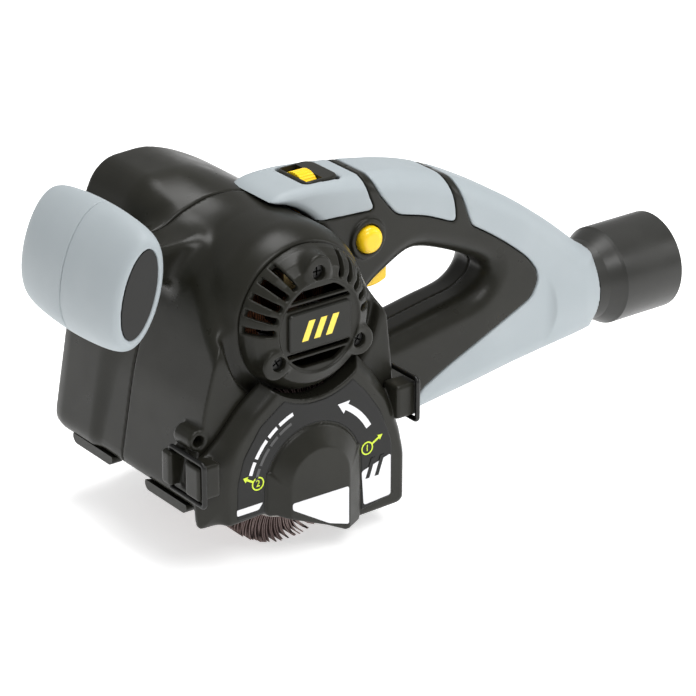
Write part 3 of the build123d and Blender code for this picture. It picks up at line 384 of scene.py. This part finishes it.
# ------------------------------------------------------------------ hood and motor housing
STEM_SIDE = rounded([(-77, 131), (-74, 149), (-44, 147), (-24, 147), (-24, 127), (-44, 128)], 4)
STEM_HALF = 12.5
HOOD_LOWER = rounded([(-60, 38), (-52, 83), (-43.5, 113), (-36, 133), (-20, 146), (30, 140),
                      (48, 108), (53, 60), (53, 11), (36, 11)], 6)
HOOD_HUMP = rounded([(-60, 38), (-52, 83), (-42, 144), (-36, 157), (-28, 163), (-8, 164),
                     (5, 160), (19, 153), (33, 144), (45, 132), (50, 110), (53, 60), (53, 11), (36, 11)], 8)

CAP_SEAT_R = 42.0                          # clearance round the end cap in the hood's side
SWELL_START, SWELL_LENGTH = -14.0, 46.0    # where the barrel starts to swell into the hump
TAPER, TAPER_START, TAPER_LENGTH = 5.2, -32.0, 16.0    # the barrel narrows towards the end cap


def housing(x, y, z):
    """Hood, belt hump and motor barrel as one outer form: the barrel swells into the hump."""
    lower = solid(outline(HOOD_LOWER, x, z), y, HOOD_RIGHT - 30, HOOD_LEFT, 8)
    lower = meet(lower, HOOD_RIGHT - y, 0.8)
    lower = meet(lower, (z - 109 - 0.9 * (y - HOOD_RIGHT)) * 0.74, 6)
    cap_seat = solid(circle(MOTOR_AXIS, CAP_SEAT_R, x, z), y, HOOD_RIGHT - 30, CAP_BASE + 3, 2)
    lower = cut(lower, cap_seat, 3)
    t = np.clip((y - SWELL_START) / SWELL_LENGTH, 0, 1)
    t = t * t * (3 - 2 * t)
    taper = TAPER * np.clip((TAPER_START - y) / TAPER_LENGTH, 0, 1) ** 2
    swelling = circle(MOTOR_AXIS, BARREL_R, x, z) + taper
    swelling = swelling * (1 - t) + outline(HOOD_HUMP, x, z) * t
    upper = solid(swelling, y, CAP_BASE + 0.2, HOOD_LEFT, 0.4)
    upper = meet(upper, solid(outline(HOOD_HUMP, x, z) - 40, y, CAP_BASE, HOOD_LEFT, 46), 2)
    bracket = solid(outline(STEM_SIDE, x, z), y, -STEM_HALF, STEM_HALF, 4)
    bracket = np.maximum(bracket, -50 - x)
    return join(join(lower, upper, 7), bracket, 9)


def hollow(form, x, y, z):
    """Takes the drum chamber, motor bay and belt room out of the housing."""
    form = cut(form, solid(circle(DRUM_AXIS, CHAMBER_R, x, z), y, HOOD_RIGHT - 9, BULKHEAD_Y), 0.8)
    motor_bay = solid(circle(MOTOR_AXIS, BARREL_R - 3, x, z), y, CAP_BASE + 11, BARREL_LEFT + 9)
    cap_bore = solid(circle(MOTOR_AXIS, CAP_R - 3, x, z), y, HOOD_RIGHT - 9, BULKHEAD_Y - 1)
    motor_bay = join(motor_bay, cap_bore)
    form = cut(form, cut(motor_bay, circle(DRUM_AXIS, CHAMBER_R + 2.8, x, z)))
    belt_room = solid(np.minimum(outline(HOOD_HUMP, x, z) + 3, circle(DRUM_AXIS, 25.4, x, z)), y,
                      BULKHEAD_Y + 4, HOOD_LEFT + 5)
    return cut(form, belt_room)


def left_housing(x, y, z):
    return meet(hollow(housing(x, y, z), x, y, z), BARREL_LEFT + 0.12 - y, 0.5)


def right_housing(x, y, z):
    form = housing(x, y, z)
    for lug_x, lug_z, outward in LATCHES:
        ends = sorted((lug_x - outward * 10, lug_x + outward * 3))
        lug = block(x, y, z, (ends, (PIVOT_Y - 3.6, PIVOT_Y + 3.6), (lug_z - 8.2, lug_z + 8.2)), 1.6)
        form = join(form, lug, 2)
    form = join(form, solid(circle(LATCH_EYE, 5, x, z), y, HOOD_RIGHT, PIVOT_Y, 1), 1.5)
    form = cut(form, solid(circle(LATCH_EYE, 2.5, x, z), y, HOOD_RIGHT - 4, HOOD_RIGHT + 6), 0.4)
    return meet(hollow(form, x, y, z), y - BARREL_LEFT + 0.12, 0.5)


BELT_COVER_SCREWS = [(-44, 60), (-28, 142), (22, 140), (42, 70), (43, 24)]


def belt_cover(x, y, z):
    """Plate over the belt, with a raised form round both pulleys."""
    plate_flat = join(outline(HOOD_HUMP, x, z) + 3.5, circle(DRUM_AXIS, 27, x, z), 3)
    form = solid(plate_flat, y, HOOD_LEFT - 3, HOOD_LEFT + 2.4, 1.2)
    along = Vector(MOTOR_AXIS) - Vector(DRUM_AXIS)
    t = np.clip(((x - DRUM_AXIS[0]) * along.x + (z - DRUM_AXIS[1]) * along.y) / along.length_squared, 0, 1)
    hull = np.hypot(x - t * MOTOR_AXIS[0], z - DRUM_R - t * along.y) - (26.5 - 7.5 * t)
    form = join(form, solid(hull, y, HOOD_LEFT - 3, 66, 2.2), 1.2)
    for place in BELT_COVER_SCREWS:
        form = cut(form, solid(circle(place, 3.5, x, z), y, HOOD_LEFT + 2.3, 70), 0.4)
    form = cut(form, solid(hull + 3, y, HOOD_LEFT - 9, HOOD_LEFT + 2.4))
    return np.maximum(form, HOOD_LEFT + 0.1 - y)


def housing_pieces():
    black = MATERIALS["black_plastic"]
    mesh("belt_cover_looks", belt_cover, (-62, HOOD_LEFT, 8), (56, 66, 166), 0.7, black,
         ("belt_cover",))
    mesh("hood_left_looks", left_housing, (-64, BARREL_LEFT, 10), (56, HOOD_LEFT, 166), 0.85, black,
         ("hood_shell",))
    mesh("hood_right_looks", right_housing, (-66, HOOD_RIGHT, 10), (60, BARREL_LEFT, 164), 0.75, black,
         ("motor_housing",))


# ------------------------------------------------------------------ motor end cap
def end_cap(x, y, z):
    r = np.hypot(x - MOTOR_X, z - MOTOR_Z)
    angle = np.arctan2(z - MOTOR_Z, x - MOTOR_X)
    dome = [(-20, CAP_FACE), (22, CAP_FACE), (27.5, -59.6), (31, -55.8), (33.4, -51.5), (CAP_R, CAP_BASE),
            (31.4, CAP_BASE), (30.4, -51), (28, -54.5), (23.5, -58.6), (-20, -58.6)]
    form = outline(dome, r, y)
    for turn in (90, 210, 330):
        place = (MOTOR_X + 26.6 * math.cos(math.radians(turn)),
                 MOTOR_Z + 26.6 * math.sin(math.radians(turn)))
        ear = solid(circle(place, 7.0, x, z), y, CAP_FACE + 0.3, CAP_BASE, 1.2)
        form = join(form, ear, 2.5)
    form = np.maximum(form, r - CAP_R)
    slots_flat = np.float32(1e9)
    for side_turn in (1, -1):
        for step in range(5):
            turn = math.radians(90 - side_turn * (31 + 13.5 * step))
            away = np.abs((angle - turn + math.pi) % (2 * math.pi) - math.pi)
            across = r * np.sin(np.minimum(away, 1.5))
            slots_flat = np.minimum(slots_flat, np.hypot(np.maximum(span(r, 24.5, 33.0), 0), across) - 1.55)
    form = cut(form, solid(slots_flat, y, CAP_FACE - 5, CAP_BASE - 1.5), 0.6)
    form = cut(form, solid(r - 21.6, y, CAP_FACE - 3, CAP_FACE + 0.9), 0.6)
    louvres = np.float32(1e9)
    for row, half in ((-16.0, 2.4), (-11.4, 1.0), (11.4, 1.0), (16.0, 2.4)):
        louvres = np.minimum(louvres, np.maximum(np.abs(z - MOTOR_Z - row) - half, r - 20.2))
    form = cut(form, solid(louvres, y, CAP_FACE - 3, CAP_FACE + 6), 0.4)
    for turn in (90, 210, 330):
        place = (MOTOR_X + CAP_SCREW_R * math.cos(math.radians(turn)),
                 MOTOR_Z + CAP_SCREW_R * math.sin(math.radians(turn)))
        form = cut(form, solid(circle(place, 3.4, x, z), y, CAP_FACE - 2, CAP_FACE + 6.8), 0.6)
    return form


def end_cap_pieces():
    mesh("end_cap_looks", end_cap, (MOTOR_X - CAP_R, CAP_FACE, MOTOR_Z - CAP_R),
         (MOTOR_X + CAP_R, CAP_BASE, MOTOR_Z + CAP_R), 0.5, MATERIALS["black_plastic"],
         ("motor_end_cap",))
    badge_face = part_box("end_cap_badge")[0].y * 1000
    for step in range(3):
        x0 = MOTOR_X - 10.5 + 6.5 * step
        low, high = MOTOR_Z - 4.6, MOTOR_Z + 4.6
        bar = [(x0, low), (x0 + 3.4, low), (x0 + 7.4, high), (x0 + 4, high)]
        sheet_of(f"print_badge_{step}", bar, badge_face - 0.1, 0.2, YELLOW_PRINT)


# ------------------------------------------------------------------ side cover and its label
COVER_BACK = rounded([(-58, 28), (-59.5, 42), (-56, 62), (-46, 70), (-35, 82), (-23, 91),
                      (-18, 98), (26, 94), (38, 79), (47, 65), (52, 50), (53, 38), (53, 14),
                      (50, 11), (20, 10.5), (-26, 28)], 3)
COVER_FRONT = rounded([(-47, 28), (-47.5, 45), (-45.5, 58), (-39, 69.5), (-30, 79), (-20, 86.5), (-14, 94),
                       (21, 90), (31, 80), (41, 67), (48.5, 50), (51.5, 38), (51.5, 14), (49, 12),
                       (20, 11.5), (-26, 29)], 3)
UNDER_COVER = [(-70, 28), (-22, 28), (4, 16.5), (14, 11.2), (60, 11.2), (60, 0), (-70, 0)]


def arch(radius, bottom, x, z):
    """Distance to the raised arch: a half circle over straight legs."""
    legs = np.maximum(np.abs(x) - radius, np.maximum(z - DRUM_R, bottom - z))
    return np.minimum(circle(DRUM_AXIS, radius, x, z), legs)


def side_cover(x, y, z):
    t = np.clip((y - COVER_FACE) / 6.5, 0, 1)
    rim = outline(COVER_FRONT, x, z) * (1 - t) + outline(COVER_BACK, x, z) * t
    away = arch(16.3, 0, x, z)
    rise = 1 - np.clip(away / 9.2, 0, 1)
    front = COVER_FACE + (BOSS_FACE - COVER_FACE + 1.2) * rise - 0.9 * np.clip((9.6 - away) / 0.4, 0, 1)
    form = meet(rim, (front - y) * 0.8, 2.2)
    form = join(form, meet(arch(25.5, 8, x, z), (front - y) * 0.8, 0.8), 0.4)
    form = cut(form, outline(UNDER_COVER, x, z), 0.8)
    form = np.maximum(form, y - (HOOD_RIGHT - 0.2))
    form = cut(form, solid(np.maximum(rim + 3, -circle(MOTOR_AXIS, CAP_R + 4, x, z)), y,
                           COVER_FACE + 2.6, HOOD_RIGHT + 9), 0.5)
    form = cut(form, solid(circle(MOTOR_AXIS, CAP_R + 0.45, x, z), y, -80, 0), 0.3)
    for x_at, z_at, outward in LATCHES:
        inner, outer = x_at - outward * 10, x_at + outward * 1.9
        keeper = block(x, y, z, ((min(inner, outer), max(inner, outer)), (-62.4, -51.4),
                                 (z_at - 8.1, z_at + 8.1)), 1.4)
        form = join(form, keeper, 1.6)
    return form


def sheet_of(name, points, y, thickness, material, replaced=()):
    """A thin flat print or film: the outline at y, and the same outline behind it."""
    count = len(points)
    front = [(px, y, pz) for px, pz in points]
    back = [(px, y + thickness, pz) for px, pz in points]
    faces = [list(range(count)), list(range(2 * count - 1, count - 1, -1))]
    faces += [[i, count + i, count + (i + 1) % count, (i + 1) % count] for i in range(count)]
    return add_object(name, front + back, faces, material, "root", replaced)


def cover_label(x, y, z):
    left = rounded([(-42, 30), (-41.5, 48), (-38, 60), (-29, 73), (-16, 82), (-4, 88), (20, 85), (30, 74),
                    (38, 62), (44, 46), (44.4, 40), (44.4, 17.8), (20, 14), (-20, 30)], 2.5)
    film = outline(left, x, z)
    film = cut(film, arch(26.6, 0, x, z), 0.3)
    film = cut(film, circle(MOTOR_AXIS, CAP_R + 2.4, x, z), 0.3)
    return np.maximum(film, span(y, COVER_FACE - 0.25, COVER_FACE + 0.25))


def ring_points(centre, radius, steps=40):
    return arc(centre, radius, 0, 360 - 360 / steps, steps - 1)


def print_ring(name, centre, outer, inner, y, material):
    """A flat printed ring."""
    a, b = ring_points(centre, outer), ring_points(centre, inner)
    count = len(a)
    rings = [[(px, yy, pz) for px, pz in ring] for yy in (y, y + 0.2) for ring in (a, b)]
    points = rings[0] + rings[1] + rings[2] + rings[3]
    faces = []
    for i in range(count):
        j = (i + 1) % count
        faces += [[i, j, count + j, count + i], [2 * count + i, 3 * count + i, 3 * count + j, 2 * count + j],
                  [i, 2 * count + i, 2 * count + j, j],
                  [count + i, count + j, 3 * count + j, 3 * count + i]]
    return add_object(name, points, faces, material, "root")


def print_number(name, text, centre, size, y, material):
    """A step number standing on the cover's face."""
    curve = bpy.data.curves.new(name, "FONT")
    curve.body = text
    curve.size = size / 1000
    curve.extrude = 0.0001
    curve.align_x, curve.align_y = "CENTER", "CENTER"
    piece = bpy.data.objects.new(name, curve)
    bpy.context.scene.collection.objects.link(piece)
    place = Vector((centre[0] + DRUM_X, y, centre[1])) / 1000
    piece.matrix_world = Matrix.Translation(place) @ Matrix.Rotation(math.radians(90), 4, "X")
    curve.materials.append(material)
    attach(piece, "root")


def print_arrow(name, tail, tip, width, y, material):
    """A straight printed arrow."""
    a, b = Vector(tail), Vector(tip)
    along = (b - a).normalized()
    across = Vector((-along.y, along.x))
    neck = b - along * width * 2.4
    points = [a - across * width / 2, neck - across * width / 2, neck - across * width * 1.5, b,
              neck + across * width * 1.5, neck + across * width / 2, a + across * width / 2]
    sheet_of(name, [tuple(p) for p in points], y, 0.2, material)


def cover_prints():
    on_label, on_boss = COVER_FACE - 0.42, BOSS_FACE + 0.05
    boss_panel = rounded([(-15.6, 33.4), (-15.6, 30.2), (4.6, 17.6), (15.6, 13.9), (15.6, 33)], 1.2)
    sheet_of("print_panel_boss", boss_panel, on_boss, 0.25, WHITE_PRINT)
    sheet_of("print_panel_rear", rounded([(26.9, 34.6), (28.1, 17.4), (43.4, 18.4), (43.4, 39.2)], 1.4),
             on_label, 0.2, WHITE_PRINT)
    for step, start in enumerate((29.0, 34.2)):
        bar = [(start, 30.4), (start + 2.2, 30.4), (start + 5.6, 40), (start + 3.4, 40)]
        sheet_of(f"print_bar_{step}", bar, on_label - 0.12, 0.2, MATERIALS["label"])
    sheet_of("print_strip_front", rounded([(-42.2, 35.8), (-28, 35.8), (-30.4, 32.8), (-42, 32.8)], 0.6),
             on_label, 0.2, WHITE_PRINT)
    barbs = ((38.2, 58), (34.8, 67), (31.6, 58))
    head = [arc(DRUM_AXIS, radius, turn, turn, 1)[0] for radius, turn in barbs]
    sweep = arc(DRUM_AXIS, 36.4, 28, 58, 14) + head + arc(DRUM_AXIS, 33.4, 58, 28, 14)
    sheet_of("print_turn_arrow", sweep, on_label, 0.2, WHITE_PRINT)
    for text, centre, tip in (("1", (30.0, 45.6), (38.6, 50.4)), ("2", (-30.6, 45.8), (-38.6, 50.6))):
        print_ring(f"print_ring_{text}", centre, 3.3, 2.65, on_label, GREEN_PRINT)
        print_number(f"print_step_{text}", text, centre, 4.6, on_label + 0.1, GREEN_PRINT)
        away = (Vector(tip) - Vector(centre)).normalized()
        tail = tuple(Vector(centre) + away * 3.3)
        print_arrow(f"print_arrow_{text}", tail, tip, 1.0, on_label, GREEN_PRINT)


def print_dashes():
    """Two curved rows of plain dashes over the arch."""
    for row, (inner, outer, start, material) in enumerate(
            ((35.3, 37.1, 108, WHITE_PRINT), (31.6, 33.1, 112, MATERIALS["inner_plastic"]))):
        for step, length in enumerate((13, 9, 15, 10)):
            end = start + length
            points = arc(DRUM_AXIS, outer, start, end, 8) + arc(DRUM_AXIS, inner, end, start, 8)
            sheet_of(f"print_dash_{row}_{step}", points, COVER_FACE - 0.42, 0.2, material)
            start = end + 2.5


def side_cover_pieces():
    mesh("side_cover_looks", side_cover, (-65, BOSS_FACE, 9), (61, HOOD_RIGHT, 98), 0.6,
         MATERIALS["black_plastic"], ("side_cover",))
    mesh("cover_label_looks", cover_label, (-46, COVER_FACE - 0.5, 10), (46, COVER_FACE + 0.5, 92), 0.5,
         MATERIALS["label"], ("cover_label",))
    cover_prints()
    print_dashes()


# ------------------------------------------------------------------ D-handle
def handle_flat(x, z):
    hug = arc(MOTOR_AXIS, BARREL_R + 0.4, -13.5, 83.5, 16)
    top = through([hug[-1], (16, 158), (32, 158.6), (59, 156.6), (88, 152), (115, 142.8), (147, 125.5),
                   (173, 107.2), (192, 91.5), (COLLAR_X, 82)])
    under = through([(COLLAR_X, PORT_Z - COLLAR_R), (190, 40.5), (153, 36), (126, 32), (96, 28),
                     (86, 25.5), (74, 24.5)])
    rear = [(53.3, 23), (53.3, 60), (50.6, 104.4)]
    gap = through([(61, 84), (64, 98), (79, 107), (92, 111.5), (110, 106.5), (131, 96.5), (136, 89.5),
                   (128, 81), (108, 77), (72, 71), (63.5, 73.5)], closed=True)
    return np.maximum(outline(hug + top + under + rear, x, z), -outline(gap, x, z))


PAD_REGIONS = {
    "front": [(5, 175), (61, 175), (60.5, 156), (63, 147), (66.5, 139.5), (48, 140.5),
              (32, 141.5), (20, 147), (5, 152)],
    "middle": [(65, 175), (65, 156), (69, 146.5), (79, 134), (97, 129), (114, 121.5),
               (113.5, 130), (111, 140), (108, 148), (108, 175)],
    "rear": [(114, 175), (114, 146), (117, 136), (122, 122), (124, 117.5), (136, 110), (147, 102), (158, 93),
             (164, 85), (165, 79), (161, 71), (150, 66), (131, 57.5), (111, 49), (95, 41), (91.5, 36),
             (91.5, 32), (87, 24), (87, 10), (215, 10), (215, 175)],
}
CORNER = {"front": 4, "middle": 4, "rear": 6}


def handle_form(x, y, z):
    edge = 5 + 5.5 * np.clip((x - 34) / 45, 0, 1)
    form = solid(handle_flat(x, z), y, -GRIP_HALF, GRIP_HALF, edge)
    nose = np.maximum(np.hypot(y, z - PORT_Z) - COLLAR_R, span(x, 176, COLLAR_X))
    return np.maximum(join(form, nose, 7), x - COLLAR_X)


def bezel_room(x, y, z):
    return block(x, y, z, ((30.7, 51.3), (-12.5, 12.5), (153, 180)), 3)


def pad(key):
    region = rounded(PAD_REGIONS[key], CORNER[key])

    def field(x, y, z):
        form = handle_form(x, y, z)
        shape = meet(meet(form, outline(region, x, z), 1.0), -(form + PAD_T), 0.3)
        shape = cut(shape, circle(MOTOR_AXIS, BARREL_R + 1.6, x, z), 0.6)
        return cut(shape, bezel_room(x, y, z) - 0.3, 0.6)
    return field


def handle_shell(hand):
    def field(x, y, z):
        form = handle_form(x, y, z)
        body = form + 0.15
        for key in PAD_REGIONS:
            region = rounded(PAD_REGIONS[key], CORNER[key])
            body = cut(body, np.maximum(outline(region, x, z) - 0.45, -(form + PAD_T - 0.1)), 0.4)
        body = join(body, solid(circle(BUTTON, BUTTON_R + 3.2, x, z), y, -GRIP_HALF - 1.6, -8, 0.8), 0.8)
        body = cut(body, solid(circle(BUTTON, BUTTON_R + 0.4, x, z), y, -GRIP_HALF - 9, -3), 0.4)
        body = cut(body, bezel_room(x, y, z))
        slot = ((TRIGGER_X - 0.5, TRIGGER_X + TRIGGER_LEN + 0.5), (-TRIGGER_HALF - 0.5, TRIGGER_HALF + 0.5),
                (90, 129))
        body = cut(body, block(x, y, z, slot), 0.5)
        dial_slot = span(x, DIAL_X - DIAL_HALF - 0.5, DIAL_X + DIAL_HALF + 0.5)
        dial = np.maximum(np.hypot(y, z - DIAL_Z) - DIAL_R - 0.5, dial_slot)
        body = cut(body, dial)
        bore = np.maximum(np.hypot(y, z - PORT_Z) - 15.9, 183 - x)
        body = cut(body, bore)
        return np.maximum(body, -hand * y + 0.08)
    return field


def handle_pieces():
    for key in PAD_REGIONS:
        low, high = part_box(f"grip_pad_{key}")
        mesh(f"grip_pad_{key}_looks", pad(key), (low.x * 1000 - DRUM_X, -20, low.z * 1000 - 1),
             (high.x * 1000 - DRUM_X, 20, high.z * 1000 + 2), 0.7, MATERIALS["grey_grip"],
             (f"grip_pad_{key}",))
    for name, hand in (("right", -1), ("left", 1)):
        y0, y1 = sorted((0, hand * 20.5))
        mesh(f"handle_shell_{name}_looks", handle_shell(hand), (8, y0, 20), (COLLAR_X, y1, 160), 0.7,
             MATERIALS["black_plastic"], (f"handle_shell_{name}",))


# ------------------------------------------------------------------ front handle
def leaning(x, z):
    """Coordinates along and across the front grip, which leans back."""
    lean = math.radians(FRONT_GRIP_LEAN)
    dx, dz = x - FRONT_GRIP_X, z - FRONT_GRIP_Z
    return dx * math.sin(lean) + dz * math.cos(lean), dx * math.cos(lean) - dz * math.sin(lean)


def oval(long_r, short_r, x, z):
    u, v = leaning(x, z)
    first = np.hypot(u / long_r, v / short_r) + 1e-6
    second = np.hypot(u / long_r ** 2, v / short_r ** 2) + 1e-6
    return first * (first - 1) / second


def front_grip(hand):
    def field(x, y, z):
        t = np.clip(np.abs(y) / FRONT_GRIP_HALF, 0, 1)
        long_r, short_r = 30.4 - 3.4 * t ** 2 - 2.4 * t ** 10, 15.1 - 2.4 * t ** 2 - 2.0 * t ** 10
        form = meet(oval(long_r, short_r, x, z), np.abs(y) - FRONT_GRIP_HALF, 2.4)
        disc = meet(oval(20.9, 8.4, x, z), FRONT_GRIP_HALF - 1.4 - np.abs(y))
        form = cut(form, disc, 0.8)
        form = cut(form, oval(20.4, 7.9, x, z))
        form = cut(form, solid(outline(STEM_SIDE, x, z) - 0.3, y, -STEM_HALF - 0.3, STEM_HALF + 0.3, 4))
        return meet(form, -hand * y + 0.12, 0.5)
    return field


def front_core(x, y, z):
    tube = np.maximum(oval(20.3, 7.8, x, z), np.abs(y) - FRONT_GRIP_HALF + 1.7)
    stem = solid(outline(STEM_SIDE, x, z), y, -STEM_HALF, STEM_HALF, 4)
    form = join(tube, stem, 1)
    return cut(form, np.minimum(housing(x, y, z), circle(MOTOR_AXIS, BARREL_R, x, z)) - 0.1)


def front_handle_pieces():
    for name, hand in (("right", -1), ("left", 1)):
        y0, y1 = sorted((0, hand * FRONT_GRIP_HALF))
        mesh(f"front_grip_{name}_looks", front_grip(hand), (-94, y0, 110), (-57, y1, 172), 0.7,
             MATERIALS["grey_grip"], (f"front_grip_{name}",))
    mesh("front_handle_core_looks", front_core, (-86, -FRONT_GRIP_HALF, 116),
         (-24, FRONT_GRIP_HALF, 162), 0.8,
         MATERIALS["black_plastic"], ("front_handle_core",))


# ------------------------------------------------------------------ abrasive flaps
def flap_pieces():
    """Abrasive cloth flaps set round the core, each swept back a little and slightly uneven."""
    random.seed(80)
    flaps, rings = 150, 5
    points, faces, tips = [], [], set()
    for flap in range(flaps):
        start = 2 * math.pi * flap / flaps + random.uniform(-0.008, 0.008)
        sweep = 0.16 + random.uniform(-0.04, 0.04)
        tip = DRUM_R - 0.1 - random.uniform(0, 0.9)
        base = len(points)
        for ring in range(rings + 1):
            t = ring / rings
            r = CORE_R - 0.4 + (tip - CORE_R + 0.4) * t
            angle = start + sweep * t * t
            half = 0.3 + 0.1 * t
            for y in (-DRUM_HALF, DRUM_HALF):
                for hand in (-1, 1):
                    turn = angle + hand * half / r
                    points.append((r * math.cos(turn), y, DRUM_R + r * math.sin(turn)))
        for ring in range(rings):
            a = base + 4 * ring
            b = a + 4
            for i, j in ((0, 1), (1, 3), (3, 2), (2, 0)):
                faces.append([a + i, a + j, b + j, b + i])
        faces.append([base, base + 2, base + 3, base + 1])
        end = base + 4 * rings
        tips.update(range(end, end + 4))
        faces.append([end, end + 1, end + 3, end + 2])
    brush = add_object("abrasive_flaps_looks", points, faces, MATERIALS["abrasive"], "drum",
                       ("abrasive_flaps",))
    brush.data.materials.append(FLAP_EDGE)
    for face in brush.data.polygons:
        if abs(face.normal.y) > 0.9 or len(set(face.vertices) & tips) == 4:
            face.material_index = 1


# ------------------------------------------------------------------ stage, light and camera
def stage_pieces():
    material, tree, shader = new_material("floor", (0.93, 0.93, 0.93), 0.8)
    shader.inputs["Emission Color"].default_value = (1, 1, 1, 1)
    shader.inputs["Emission Strength"].default_value = 0.55
    tone = ramp(tree, noise(tree, 3), (0.93, 0.93, 0.93), (0.94, 0.94, 0.94))
    tree.links.new(tone, shader.inputs["Base Color"])
    data = bpy.data.meshes.new("floor")
    reach, floor_z = 6.0, -0.0002
    data.from_pydata([(-reach, -reach, floor_z), (reach, -reach, floor_z), (reach, reach, floor_z),
                      (-reach, reach, floor_z)], [], [(0, 1, 2, 3)])
    floor = bpy.data.objects.new("floor", data)
    data.materials.append(material)
    bpy.context.scene.collection.objects.link(floor)


def softbox(name, place, target, size, power):
    light = bpy.data.lights.new(name, "AREA")
    light.shape, light.size, light.size_y, light.energy = "RECTANGLE", size[0], size[1], power
    lamp = bpy.data.objects.new(name, light)
    bpy.context.scene.collection.objects.link(lamp)
    lamp.location = place
    lamp.rotation_euler = (Vector(target) - Vector(place)).to_track_quat("-Z", "Y").to_euler()


def lights():
    world = bpy.data.worlds.new("studio")
    world.use_nodes = True
    background = world.node_tree.nodes["Background"]
    background.inputs["Color"].default_value = (1, 1, 1, 1)
    background.inputs["Strength"].default_value = 0.46
    bpy.context.scene.world = world
    aim = (0, 0, 0.07)
    softbox("key", (-0.2, -1.3, 1.5), aim, (0.7, 0.7), 13)
    softbox("top", (0.2, 0.1, 1.7), aim, (0.9, 0.9), 19)
    softbox("side", (1.4, -0.9, 0.7), aim, (0.4, 0.8), 5)


def camera():
    """A long lens, turned 36.7 degrees to the tool's right and looking 24.4 degrees down."""
    turn, down = math.radians(-36.7), math.radians(24.4)
    aim, distance = Vector((-38.7, -31.2, 81.9)) / 1000, 1.5525
    back = Vector((math.sin(turn) * math.cos(down), -math.cos(turn) * math.cos(down), math.sin(down)))
    right = Vector((math.cos(turn), math.sin(turn), 0))
    up = back.cross(right)
    data = bpy.data.cameras.new("camera")
    data.sensor_width = 36
    data.lens = 175.86
    data.clip_end = 50
    eye = bpy.data.objects.new("camera", data)
    bpy.context.scene.collection.objects.link(eye)
    facing = Matrix((right, up, back)).transposed().to_4x4()
    eye.matrix_world = Matrix.Translation(aim + back * distance) @ facing
    bpy.context.scene.camera = eye


housing_pieces()
end_cap_pieces()
side_cover_pieces()
handle_pieces()
front_handle_pieces()
flap_pieces()
stage_pieces()
lights()
camera()
bpy.context.scene.view_settings.view_transform = "Standard"
